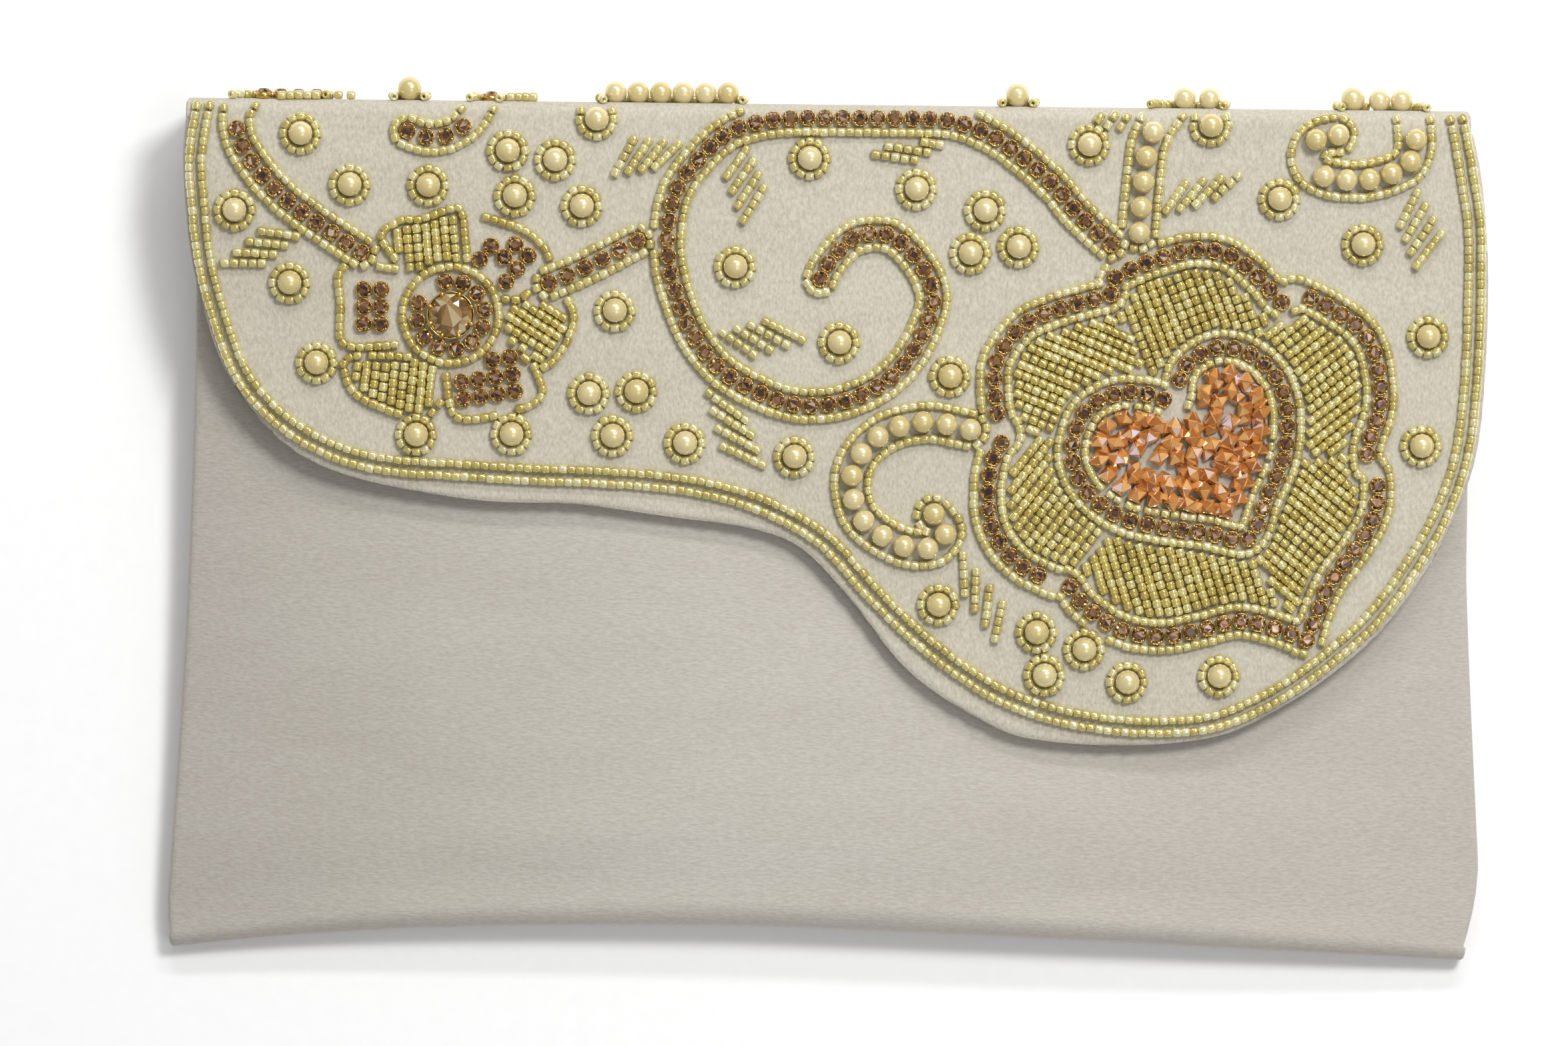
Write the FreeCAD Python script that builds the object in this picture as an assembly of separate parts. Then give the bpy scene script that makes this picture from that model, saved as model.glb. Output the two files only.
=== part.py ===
import FreeCAD, Part
import math
import os

# Envelope clutch lying on its back. +Z leaves the beaded flap, +Y runs to the top fold, mm.
# The cloth drawing (x across, s up the cloth) has its zero near the middle of the flap.
# s runs flat up the flap, then round the top fold and down the spine strip.

V = FreeCAD.Vector
os.makedirs("parts", exist_ok=True)

SHIFT_X, SHIFT_Y = 0.3, 1.7      # drawing zero to the centre of the part's box
FOLD_Y, FOLD_R = 81.5, 3.1       # where the flap starts to bend, and the radius of the bend
TOP_Z = 24.2                     # height of the flap's skin at the top fold
FOLD_S = FOLD_Y + FOLD_R * math.pi / 4
PEARL, STRING_PEARL, BEAD = 2.4, 2.2, 0.92
CUP, PITCH, EDGE = 1.66, 3.45, 2.75
SNAP = (56.0, -26.0)


# ---------------------------------------------------------------- heights of the cloth
def smooth(t):
    t = min(max(t, 0.0), 1.0)
    return t * t * (3 - 2 * t)


def drop(y):
    return 4.5 * (max(0.0, 76 - y) / 119) ** 2


def flap_z(x, y):
    bow = 4.0 * (x / 129) ** 2 * smooth((FOLD_Y - y) / 60)
    return TOP_Z - bow - drop(y)


def front_z(x, y):
    middle = 20.2 - drop(y)
    t = min(max((y + 85) / 161, 0.0), 1.0)
    side = 6.6 + 7.4 * t ** 0.9
    z = middle - (middle - side) * min(1.0, abs(x / 129.5)) ** 2.4
    away = math.hypot(x - SNAP[0], y - SNAP[1]) / 14
    return z - 2.2 / (1 + away ** 6)


def left_x(y):
    x = -127.4 - 5.0 * (max(0.0, 35 - y) / 114) ** 1.7
    return x + 1.9 * (max(0.0, -76 - y) / 10) ** 2


def right_x(y):
    x = 129.4 + 3.3 * min(1.0, max(0.0, -7 - y) / 60) ** 1.2
    return x - 3.6 * (max(0.0, -66 - y) / 20) ** 2


def bottom_y(x):
    if x < -15:
        return -80.9 - 5.5 * (min(1.0, (-15 - x) / 116)) ** 2.8
    return -80.9 - 5.5 * (min(1.0, (x + 15) / 145)) ** 1.2


def place(x, y, z):
    return V(x - SHIFT_X, y - SHIFT_Y, z)


def skin(x, s, up=0.0):
    """A point above the beaded cloth: flat flap, bend, then straight down the spine."""
    if s <= FOLD_Y:
        return place(x, s, flap_z(x, s) + up)
    turn = (s - FOLD_Y) / FOLD_R
    r = FOLD_R + up
    if turn <= math.pi / 2:
        return place(x, FOLD_Y + r * math.sin(turn), TOP_Z - FOLD_R + r * math.cos(turn))
    down = s - FOLD_Y - FOLD_R * math.pi / 2
    return place(x, FOLD_Y + r, TOP_Z - FOLD_R - down)


def skin_normal(x, s):
    n = skin(x, s, 1.0) - skin(x, s, 0.0)
    if s <= FOLD_Y:
        n = V(flap_z(x - 1, s) - flap_z(x + 1, s), flap_z(x, s - 1) - flap_z(x, s + 1), 2.0)
    return n.normalize()


# ---------------------------------------------------------------- making solids
def sheet(outer, inner):
    """A closed sheet between two grids of points of the same size."""
    top = Part.BSplineSurface()
    top.interpolate(outer)
    low = Part.BSplineSurface()
    low.interpolate(inner)
    faces = [top.toShape(), low.toShape()]
    tb, lb = top.bounds(), low.bounds()
    for k in (0, 1):
        faces.append(Part.makeRuledSurface(top.uIso(tb[k]).toShape(), low.uIso(lb[k]).toShape()))
        faces.append(Part.makeRuledSurface(top.vIso(tb[k + 2]).toShape(), low.vIso(lb[k + 2]).toShape()))
    shell = Part.makeShell(faces)
    shell.sewShape()
    solid = Part.makeSolid(shell)
    if solid.Volume < 0:
        solid.reverse()
    return solid


def layer(point, us, vs, d0, d1):
    """A sheet whose point(u, v, d) lies d below the skin."""
    outer = [[point(u, v, d0) for v in vs] for u in us]
    inner = [[point(u, v, d1) for v in vs] for u in us]
    return sheet(outer, inner)


def steps(a, b, n):
    return [a + (b - a) * k / (n - 1) for k in range(n)]


def save(name, solids):
    shape = solids[0] if len(solids) == 1 else Part.makeCompound(solids)
    shape.exportStep("parts/" + name + ".step")


def strand(a, b, r):
    """A straight length of threaded beads."""
    return Part.makeCylinder(r, (b - a).Length, a, b - a)


# ---------------------------------------------------------------- lines on the cloth
def curve_through(points, closed=False, step=0.5):
    """A smooth line through hand-placed points, walked in even steps."""
    n = len(points)
    fine = []
    for k in range(n if closed else n - 1):
        a = points[k - 1] if closed or k > 0 else points[0]
        b = points[k]
        c = points[(k + 1) % n]
        d = points[(k + 2) % n] if closed or k < n - 2 else points[-1]
        for m in range(24):
            t = m / 24
            fine.append(tuple(0.5 * (2 * b[i] + (c[i] - a[i]) * t
                        + (2 * a[i] - 5 * b[i] + 4 * c[i] - d[i]) * t * t
                        + (3 * b[i] - a[i] - 3 * c[i] + d[i]) * t ** 3) for i in (0, 1)))
    fine.append(points[0] if closed else points[-1])
    return even(fine, step)


def even(line, step):
    total = sum(math.dist(line[k], line[k + 1]) for k in range(len(line) - 1))
    count = max(1, round(total / step))
    gap = total / count
    out = [line[0]]
    travelled, want = 0.0, gap
    for k in range(len(line) - 1):
        a, b = line[k], line[k + 1]
        d = math.dist(a, b)
        while d > 0 and travelled + d >= want - 1e-6 and len(out) < count:
            f = (want - travelled) / d
            out.append((a[0] + (b[0] - a[0]) * f, a[1] + (b[1] - a[1]) * f))
            want += gap
        travelled += d
    out.append(line[-1])
    return out


def length_of(line):
    return sum(math.dist(line[k], line[k + 1]) for k in range(len(line) - 1))


def spaced(line, least, closed=False):
    """Even spots at least this far apart; a closed line starts where its stones crowd least."""
    best, fewest = None, 99
    for m in range(0, 8 if closed else 1):
        turned_line = line[m:-1] + line[:m + 1] if closed else line
        spots = even(turned_line, length_of(line) / max(1, int(length_of(line) / least)))
        tight = sum(1 for k in range(len(spots) - 1) if math.dist(spots[k], spots[k + 1]) < 2 * CUP + 0.02)
        if tight < fewest:
            best, fewest = spots, tight
    return best


def beside(line, d, closed=False):
    """The line a distance d to the left, without the loops it makes in tight corners."""
    out = []
    n = len(line)
    for k in range(n):
        a = line[k - 1] if k > 0 else (line[-2] if closed else line[0])
        b = line[k + 1] if k < n - 1 else (line[1] if closed else line[-1])
        dx, dy = b[0] - a[0], b[1] - a[1]
        size = math.hypot(dx, dy) or 1.0
        p = (line[k][0] - dy / size * d, line[k][1] + dx / size * d)
        if min(math.dist(p, q) for q in line) > abs(d) - 0.12:
            out.append(p)
    return out


def round_end(line, d, first):
    """A half ring of radius d round one end of a line."""
    a, b = (line[0], line[2]) if first else (line[-1], line[-3])
    away = math.atan2(a[1] - b[1], a[0] - b[0])
    angles = steps(away + math.pi / 2, away - math.pi / 2, 20)
    return [(a[0] + d * math.cos(t), a[1] + d * math.sin(t)) for t in angles]


def ring(x, s, r, n=44):
    return [(x + r * math.cos(2 * math.pi * k / n), s + r * math.sin(2 * math.pi * k / n)) for k in range(n + 1)]


class Cloth:
    """What is already sewn on, so that nothing is sewn twice in one place."""

    def __init__(self):
        self.cells = {}

    def add(self, x, s, r, tag):
        self.cells.setdefault((int(x // 6), int(s // 6)), []).append((x, s, r, tag))

    def free(self, x, s, r, tag):
        cx, cy = int(x // 6), int(s // 6)
        for i in (-1, 0, 1):
            for j in (-1, 0, 1):
                for (px, ps, pr, ptag) in self.cells.get((cx + i, cy + j), ()):
                    if ptag != tag and math.hypot(px - x, ps - s) < pr + r + 0.08:
                        return False
        return True


cloth = Cloth()
groups = {}


def sew(name, solid, s):
    """Put a solid in its group; past the fold line it belongs to the spine strip."""
    groups.setdefault(name if s < FOLD_S else "spine_" + name.split("_", 1)[1], []).append(solid)


def pearl(name, x, s, r):
    if cloth.free(x, s, r, None) and abs(s - FOLD_S) > 2.9:
        cloth.add(x, s, r, "pearl")
        sew(name, Part.makeSphere(r, skin(x, s, r + 0.05)), s)


def turned(points, base, normal):
    """A solid turned from a half profile, standing on the cloth."""
    wire = Part.makePolygon([V(p[0], 0, p[1]) for p in points + points[:1]])
    solid = Part.Face(wire).revolve(V(0, 0, 0), V(0, 0, 1), 360)
    solid.Placement = FreeCAD.Placement(base, FreeCAD.Rotation(V(0, 0, 1), normal))
    return solid


def set_stone(family, x, s, r=CUP):
    """A round rhinestone in its metal cup."""
    if not cloth.free(x, s, r, None) or abs(s - FOLD_S) < 2.15:
        return
    cloth.add(x, s, r, "stone")
    base, n = skin(x, s, 0.05), skin_normal(x, s)
    cup = [(0, 0), (r - 0.2, 0), (r, 0.4), (r, 1.5), (r - 0.22, 1.5), (r - 0.22, 0.5), (0, 0.2)]
    gem = [(0, 0.35), (r - 0.25, 1.25), (r - 0.25, 1.5), (r - 0.8, 2.0), (0, 2.0)]
    sew(family + "_cups", turned(cup, base, n), s)
    sew(family + "_stones", turned(gem, base, n), s)


def sew_row(name, line, tag, least=2.2):
    """A row of seed beads along a line, left out wherever something else already sits."""
    runs, run = [], []
    for p in line:
        bend = abs(p[1] - FOLD_S) < 1.25
        ok = cloth.free(p[0], p[1], BEAD, tag) and not bend
        if ok and run and math.dist(p, run[-1]) > 1.6:
            runs.append(run)
            run = []
        if ok:
            run.append(p)
        elif run:
            runs.append(run)
            run = []
    runs.append(run)
    for run in runs:
        length = sum(math.dist(run[k], run[k + 1]) for k in range(len(run) - 1))
        if length < least:
            continue
        for p in run:
            cloth.add(p[0], p[1], BEAD, tag)
        for a, b in straights(even(run, 1.6)):
            up = BEAD + (0.2 if max(a[1], b[1]) > FOLD_Y - 2.5 else 0.08)
            sew(name, strand(skin(a[0], a[1], up), skin(b[0], b[1], up), BEAD - 0.07), a[1])


def straights(marks):
    """Cut a row into straight lengths that each turn 9 degrees at most, with a hair between them."""
    ways = [math.atan2(marks[k + 1][1] - marks[k][1], marks[k + 1][0] - marks[k][0])
            for k in range(len(marks) - 1)]
    parts, start = [], 0
    for k in range(1, len(marks)):
        turned_by = 0.0
        if k < len(ways):
            turned_by = abs((ways[k] - ways[start] + math.pi) % (2 * math.pi) - math.pi)
        most = 1.7 if marks[k][1] > FOLD_Y - 2.5 else 8.0
        if k == len(marks) - 1 or turned_by > 0.16 or math.dist(marks[start], marks[k]) > most:
            a, b = marks[start], marks[k]
            trim = min(0.3, 0.22 * math.dist(a, b)) / max(0.1, math.dist(a, b))
            dx, ds = (b[0] - a[0]) * trim, (b[1] - a[1]) * trim
            parts.append(((a[0] + dx, a[1] + ds), (b[0] - dx, b[1] - ds)))
            start = k
    return parts


def sew_ring(name, x, s, r, tag):
    """A closed ring of beads, whole if there is room for it."""
    line = ring(x, s, r)
    whole = all(cloth.free(p[0], p[1], BEAD, tag) for p in line)
    if whole and (s + r + 1 < FOLD_Y):
        for p in line:
            cloth.add(p[0], p[1], BEAD, tag)
        middle = skin(x, s, BEAD + 0.05)
        groups.setdefault(name, []).append(Part.makeTorus(r, BEAD, middle, skin_normal(x, s)))
    else:
        sew_row(name, line[:-1], tag)


# ---------------------------------------------------------------- the embroidery drawing
FLAP_EDGE = [(-128.2, 86), (-128.9, 80), (-129.3, 72), (-128.5, 60), (-127, 50), (-123.8, 38),
             (-120, 29), (-113, 19.5), (-104, 12.5), (-90, 7.8), (-69.5, 4.6), (-50, 4), (-32, 1.8),
             (-15, -0.5), (-5, -4.2), (4.1, -13.3), (14.6, -26.4), (22.7, -33.2), (32, -38.6),
             (41.3, -42), (60.4, -43.2), (79.5, -41), (93, -34.5), (103.3, -27.3), (112.3, -19),
             (120.2, -8.2), (126.3, 3.8), (130.3, 16.2), (131.8, 32), (132, 52), (130.5, 69.6),
             (128, 81.6), (126.4, 86)]
BORDER = [(-126.2, 84.5), (-127.9, 73), (-127.3, 62.6), (-126.1, 52.2), (-123.4, 41.7), (-119, 30),
          (-112.8, 21.8), (-104.4, 15.6), (-95.3, 11.8), (-86.3, 10.1), (-75.9, 9.5), (-60, 8.7),
          (-44, 8.2), (-29.4, 7.1), (-18.3, 4.8), (-9.1, 1.3), (-0.3, -4.2), (8.4, -13.7),
          (17.4, -22.3), (26.2, -29.1), (36.6, -35.1), (49.4, -39), (65, -40.6), (79.5, -39.1),
          (92.1, -33.2), (101.9, -26.1), (110.8, -17.9), (118.5, -7.4), (124.8, 4.2), (128.7, 16.4),
          (130.3, 32.1), (130.6, 48), (130.3, 60.9), (129, 69.6), (126.7, 81.6), (125.5, 85)]
SINGLES = [(-105.7, 77.5), (-95.8, 67.4), (-80.1, 67.4), (-118.8, 62.1), (-107.7, 47.7),
           (-102.2, 31.8), (-84.3, 87), (-49.4, 63.6), (-46.6, 81), (-42.6, 42.8), (-18.6, 51.8),
           (-4, 73.6), (17.4, 67.7), (51.8, 76.9), (2.3, 36.9), (24.5, 30.4), (37.5, 87),
           (76, 81), (89.9, 66.5), (106.7, 57.6), (120.1, 39.4), (104.7, 87.6), (119.1, 17.5),
           (79.1, -29), (60.7, -30.4), (22.7, -15.3), (-63, 17.9), (-28.3, 16.5), (-6.4, 14),
           (-82.1, 17.6)]
CLUSTERS = [(-64.3, 74.5), (-54.8, 72.8), (-62.8, 65.5), (31.2, 63.6), (28.3, 55), (37.9, 56.4),
            (42.4, -20.6), (52, -23.9), (44.1, -29.2), (-47.6, 26.2), (-38.1, 26.7), (-42.8, 17.8)]
STRINGS = [[(28.6, 19.8), (19.3, 21.2), (10.6, 18.4), (5.3, 11.3), (6.7, 2.5), (13.9, -3),
            (20.6, -4), (24, -0.8), (21.6, 2.8)],
           [(61.9, 59.5), (62.5, 67.9), (63.6, 77), (66.2, 82.5), (70.5, 86.9), (76, 87.3)],
           [(101.4, 79.4), (97, 78.4), (95.6, 74.2), (99, 71), (107.9, 70.6), (115.7, 74),
            (116.8, 80.8), (114.5, 87.2), (110, 87.6)],
           [(-43, 87.4), (-35, 87.2), (-27.3, 87), (-20.5, 87)]]
VINES = [[(-103, 88.4), (-110, 88), (-115.5, 85.6), (-118.3, 82.1), (-118, 76.4), (-114.3, 70.4),
          (-109.3, 65), (-103.2, 60.4), (-93.4, 54)],
         [(-84.4, 78.2), (-81.3, 77.1), (-77.7, 77.1), (-74.3, 78.5), (-71.4, 81), (-69, 85.4), (-68, 89.5)],
         [(-55.8, 48.2), (-48.4, 51.5), (-38.3, 56.8)],
         [(56.3, 57.1), (50.1, 62.7), (44.9, 68.7), (38.5, 74.3), (32.2, 78.5), (25.1, 81.2),
          (17.7, 81.7), (9.8, 81.7), (1.7, 81.7), (-5.7, 81.6), (-13.3, 80.9), (-20.3, 78.6),
          (-26, 73.4), (-30.5, 67), (-32.1, 59.5), (-31.9, 52.1), (-29.6, 44.2), (-26.4, 37.3),
          (-21, 31), (-13.7, 26.8), (-6.6, 24.5), (1.7, 24.8), (9.7, 28), (15.1, 32.6),
          (19.1, 39.2), (21, 46.6), (17.8, 53.5), (12.1, 58.4), (5.1, 57.9), (0, 52.7), (-1.6, 49.5)]]
FLOWER = [(56.4, 47.2), (57.5, 50.6), (64.4, 53.9), (72.7, 56.2), (79.9, 55.3), (86, 50.8),
          (90.6, 46), (93.3, 48), (101.2, 44.5), (107.6, 39.5), (110.2, 32.5), (110.6, 24.9),
          (108.4, 18), (108.4, 13.9), (110.2, 11.3), (110, 4.1), (106.3, -2.9), (101.2, -9.9),
          (98.3, -16.9), (96.6, -21.5), (92.3, -19.9), (83.3, -17.9), (74.9, -19.8), (67.1, -21.2),
          (59, -19.8), (51.8, -15), (48.5, -10.9), (45.6, -10.4), (38.4, -6.7), (33.4, -0.1),
          (32.3, 8), (33.8, 15.8), (36.1, 18.7), (34, 23), (33.4, 29.4), (34.2, 34.6),
          (39.1, 40.9), (46, 44.1), (53.2, 46.2)]
HEART = [(69.6, 26), (64.8, 27.2), (58, 27.4), (51.9, 24.1), (49.3, 18.3), (49.4, 12.8), (52.7, 7),
         (59.4, 2.5), (67.7, 0.7), (76.2, -0.3), (84.6, -1.4), (88, 6.7), (91.2, 14), (92.1, 22.4),
         (90.3, 29.9), (84.8, 35.4), (77.5, 36.7), (71.2, 32.6)]
HEART_MIDDLE = (72.0, 15.5)
# the flower's notches in order, and the lay of the strands in the petal after each
PETAL_NOTCHES = [(56.4, 47.2), (90.6, 46), (108.4, 15.9), (96.6, -21.5), (48.5, -10.9), (36.1, 18.7)]
PETAL_WAYS = [112, 38, -38, 108, 52, 158]
ROSETTE = (-75.4, 41.6)
STONE_PETALS = [([(-86.6, 35.6), (-96.6, 35.6), (-97.4, 43), (-97, 50.8), (-86.6, 50.8)], 0),
                ([(-68.5, 61.2), (-61.3, 58.9), (-57, 55.5), (-55.6, 52), (-57, 48.6), (-60.6, 45.6)], -40),
                ([(-76.2, 29.2), (-73.9, 21.2), (-63.4, 22.4), (-57, 25.6), (-58.6, 31.4)], 9)]
BEAD_PETALS = [([(-84.8, 50.6), (-89.4, 57.2), (-85.4, 60.4), (-81.8, 60.6), (-76.8, 62.3),
                 (-73.4, 62.2), (-72.2, 52)], 96),
               ([(-65.4, 45), (-60.2, 44.8), (-53, 45.4), (-50.8, 41), (-52.9, 35.2), (-57, 31.4),
                 (-63, 35)], -32),
               ([(-84, 33.2), (-95.4, 33), (-96.4, 29.2), (-93.2, 24.9), (-83.7, 21.4), (-77.8, 23),
                 (-77.4, 30.4)], 84)]
# first strand, last strand, and how many strands lie between them
LEAVES = [((-113.3, 58), (-106.5, 57), (-120.7, 51.6), (-113.3, 51.5), 4),
          ((-108.5, 84.2), (-101, 84.2), (-103, 86.4), (-96, 86.4), 2),
          ((-42.7, 70.3), (-39.3, 76.8), (-34.8, 71.6), (-30.4, 76.1), 4),
          ((-20.4, 70), (-16.5, 75.5), (-17.1, 61.2), (-13.2, 67.4), 4),
          ((-12.4, 40.9), (-5.1, 37.5), (-20.9, 38.6), (-14.8, 34.4), 4),
          ((-23.6, 26.5), (-16.3, 21.3), (-20.6, 15.9), (-12.8, 12.4), 4),
          ((9.2, 74.6), (16.9, 73.5), (16.9, 79.4), (24.5, 78.2), 4),
          ((67.1, 63.6), (71, 69.2), (76.4, 66.1), (81.5, 71), 4),
          ((114.3, 61.7), (117.4, 68), (117.6, 53.6), (122.3, 59.9), 4),
          ((27.6, -5.4), (28, -12.9), (35.6, -15.1), (34.2, -22), 4),
          ((53, 81), (55.6, 84.8), (58, 80.6), (60.6, 84.4), 3),
          ((-65.5, 86.4), (-59.5, 86.2), (-61, 83.2), (-55, 82.8), 2),
          ((88.5, 84.5), (95.7, 84.8), (88.5, 84.5), (95.7, 84.8), 1)]


def inside(p, outline):
    hit = False
    for k in range(len(outline)):
        a, b = outline[k - 1], outline[k]
        if (a[1] > p[1]) != (b[1] > p[1]):
            if p[0] < (b[0] - a[0]) * (p[1] - a[1]) / (b[1] - a[1]) + a[0]:
                hit = not hit
    return hit


def hatch(outline, degrees, pitch):
    """Parallel strands across an outline."""
    c, s = math.cos(math.radians(degrees)), math.sin(math.radians(degrees))
    mx = sum(p[0] for p in outline) / len(outline)
    my = sum(p[1] for p in outline) / len(outline)
    lines = []
    for k in range(-14, 15):
        line = []
        for m in range(-64, 65):
            p = (mx + c * m * 0.5 - s * k * pitch, my + s * m * 0.5 + c * k * pitch)
            if inside(p, outline):
                line.append(p)
        if len(line) > 4:
            lines.append(line)
    return lines


def embroider():
    """Sew everything on, the proudest pieces first."""
    for (x, s) in SINGLES + CLUSTERS:
        pearl("flap_pearls", x, s, PEARL)
    strings = [curve_through(points) for points in STRINGS]
    for line in strings:
        for p in spaced(line, 4.5):
            pearl("flap_string_pearls", p[0], p[1], STRING_PEARL)
    vines = [curve_through(points) for points in VINES]
    for line in vines:
        for p in spaced(line, PITCH):
            set_stone("vine", p[0], p[1])
    flower = curve_through(FLOWER, True)
    for p in spaced(flower, PITCH, True)[:-1]:
        set_stone("flower", p[0], p[1])
    heart = curve_through(HEART, True)
    for p in spaced(heart, PITCH, True)[:-1]:
        set_stone("heart", p[0], p[1])
    fill_heart(heart)
    rosette_stones()
    border = curve_through(BORDER)
    sew_row("flap_border_beads_outer", border, "border a")
    sew_row("flap_border_beads_inner", beside(border, 2.5), "border b")
    for k, (x, s) in enumerate(SINGLES + CLUSTERS):
        sew_ring("flap_pearl_rings", x, s, 3.42, "ring %d" % k)
    edge_line("vine", vines, EDGE)
    edge_line("string", strings, 3.35)
    for name, line in (("flower", flower), ("heart", heart)):
        sew_row("flap_%s_edge_beads" % name, beside(line, EDGE, True), name + " a")
        sew_row("flap_%s_edge_beads" % name, beside(line, -EDGE, True), name + " b")
    fill_petals(flower, heart)
    rosette_beads()
    for k, (a, b, c, d, n) in enumerate(LEAVES):
        for m in range(n):
            f = m / max(1, n - 1)
            p = (a[0] + (c[0] - a[0]) * f, a[1] + (c[1] - a[1]) * f)
            q = (b[0] + (d[0] - b[0]) * f, b[1] + (d[1] - b[1]) * f)
            sew_row("flap_leaf_beads", even([p, q], 0.5), "leaf %d %d" % (k, m))


def edge_line(name, lines, d):
    """Bead rows down both sides of a vine or a pearl string, closed round its ends."""
    for k, line in enumerate(lines):
        tag = "%s %d" % (name, k)
        sew_row("flap_%s_edge_beads" % name, beside(line, d), tag)
        sew_row("flap_%s_edge_beads" % name, beside(line, -d), tag + " far")
        sew_row("flap_%s_edge_beads" % name, round_end(line, d, True)[2:-2], tag + " head")
        sew_row("flap_%s_edge_beads" % name, round_end(line, d, False)[2:-2], tag + " tail")


def fill_heart(heart):
    """Bicone crystals lying on their sides, in rings one inside the other."""
    for k in range(6):
        inner = beside(heart, 5.2 + 3.1 * k, True)
        if len(inner) < 3 or not inside(inner[0], heart):
            inner = beside(heart, -5.2 - 3.1 * k, True)
        for m, (x, s) in enumerate(even(inner, 0.4) if len(inner) > 2 else inner):
            if inside((x, s), heart) and cloth.free(x, s, 1.6, None):
                cloth.add(x, s, 1.6, "bicone")
                turn = math.atan2(HEART_MIDDLE[1] - s, HEART_MIDDLE[0] - x) + 0.5 * math.sin(2.7 * m)
                axis = V(math.cos(turn), math.sin(turn), 0)
                gem = turned([(0, -1.5), (1.5, 0), (0, 1.5)], skin(x, s, 1.6), axis)
                groups.setdefault("flap_heart_crystals", []).append(gem)


def rosette_stones():
    x0, s0 = ROSETTE
    base, n = skin(x0, s0, 0.05), skin_normal(x0, s0)
    seat = turned([(0, 0), (4.6, 0), (4.85, 0.6), (4.85, 2.2), (4.55, 2.2), (4.55, 0.9), (0, 0.3)], base, n)
    gem = turned([(0, 0.5), (4.4, 2.0), (4.4, 2.5), (2.7, 3.6), (0, 3.6)], base, n)
    groups["rosette_bezel"] = [seat]
    groups["rosette_centre_stone"] = [gem]
    cloth.add(x0, s0, 4.85, "stone centre")
    for k in range(12):
        if k != 4:
            a = math.radians(30 * k + 10)
            set_stone("rosette", x0 + 6.85 * math.cos(a), s0 + 6.85 * math.sin(a))
    for outline, degrees in STONE_PETALS:
        fill_stones(outline, math.radians(degrees))


def fill_stones(outline, turn):
    """Stones in straight rows inside a petal, clear of its bead row and the centre."""
    line = curve_through(outline)
    whole = line + [ROSETTE]
    mx = sum(p[0] for p in outline) / len(outline)
    my = sum(p[1] for p in outline) / len(outline)
    for j in range(-5, 6):
        for i in range(-5, 6):
            a, b = 3.45 * i, 3.45 * j
            p = (mx + math.cos(turn) * a - math.sin(turn) * b, my + math.sin(turn) * a + math.cos(turn) * b)
            if math.dist(p, ROSETTE) > 12.25 and inside(p, whole) and min(math.dist(p, q) for q in line) > 2.5:
                set_stone("rosette", p[0], p[1])


def rosette_beads():
    x0, s0 = ROSETTE
    sew_ring("flap_rosette_beads", x0, s0, 9.65, "rosette")
    for k, (outline, degrees) in enumerate(STONE_PETALS):
        sew_row("flap_rosette_beads", curve_through(outline), "stone petal %d" % k)
    for k, (outline, degrees) in enumerate(BEAD_PETALS):
        sew_row("flap_rosette_beads", curve_through(outline), "bead petal %d" % k)
        for m, line in enumerate(hatch(outline, degrees, 1.88)):
            sew_row("flap_rosette_beads", line, "bead petal %d %d" % (k, m))


def fill_petals(flower, heart):
    """Each petal is filled with its own parallel strands, up to the heart's outer row."""
    for k, way in enumerate(PETAL_WAYS):
        notch, following = PETAL_NOTCHES[k], PETAL_NOTCHES[(k + 1) % len(PETAL_NOTCHES)]
        sector = [HEART_MIDDLE] + between(flower, notch, following)
        for m, line in enumerate(hatch(sector, way, 1.88)):
            line = [p for p in line if min(math.dist(p, q) for q in flower[::2]) > EDGE + 2 * BEAD
                    and min(math.dist(p, q) for q in heart[::2]) > EDGE + 2 * BEAD
                    and not inside(p, heart) and inside(p, flower)]
            sew_row("flap_petal_beads", line, "petal %d %d" % (k, m), 1.6)


def between(line, a, b):
    """The stretch of a closed line from nearest a to nearest b."""
    i = min(range(len(line)), key=lambda k: math.dist(line[k], a))
    j = min(range(len(line)), key=lambda k: math.dist(line[k], b))
    return line[i:j] if i < j else line[i:] + line[:j]


# ---------------------------------------------------------------- the bag itself
def front_point(u, v, d):
    """v below 0 goes round the bottom fold (-2 is the back end of it), v 0..1 goes up the front."""
    if v < 0:
        x = left_x(-82) + u * (right_x(-82) - left_x(-82))
        low = bottom_y(x)
        tall = front_z(x, -85)
        deep = 0.45 * tall
        a = math.pi / 2 * (v + 1)
        y = low + deep - (deep - d) * math.cos(a)
        return place(x, y, tall / 2 + (tall / 2 - d) * math.sin(a))
    x0 = left_x(-82) + u * (right_x(-82) - left_x(-82))
    start = bottom_y(x0) + 0.45 * front_z(x0, -85)
    y = start + v * (76 - start)
    x = left_x(y) + u * (right_x(y) - left_x(y))
    rise = smooth(v * 12)
    z = front_z(x0, -85) * (1 - rise) + front_z(x, y) * rise
    return place(x, y, z - d)


def flap_point(x, s, d):
    return skin(x, s, -d)


def back_point(u, v, d):
    """v 0..1 from the bottom fold up the back, then round to the spine."""
    x0 = left_x(-82) + u * (right_x(-82) - left_x(-82))
    start = bottom_y(x0) + 0.45 * front_z(x0, -85) + 0.2
    if v <= 1:
        y = start + v * (FOLD_Y - start)
        x = left_x(y) + u * (right_x(y) - left_x(y))
        return place(x, y, d)
    a = (v - 1) * math.pi / 4 * 0.94
    x = left_x(80) + u * (right_x(80) - left_x(80))
    return place(x, FOLD_Y + (FOLD_R - d) * math.sin(a), FOLD_R - (FOLD_R - d) * math.cos(a))


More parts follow.
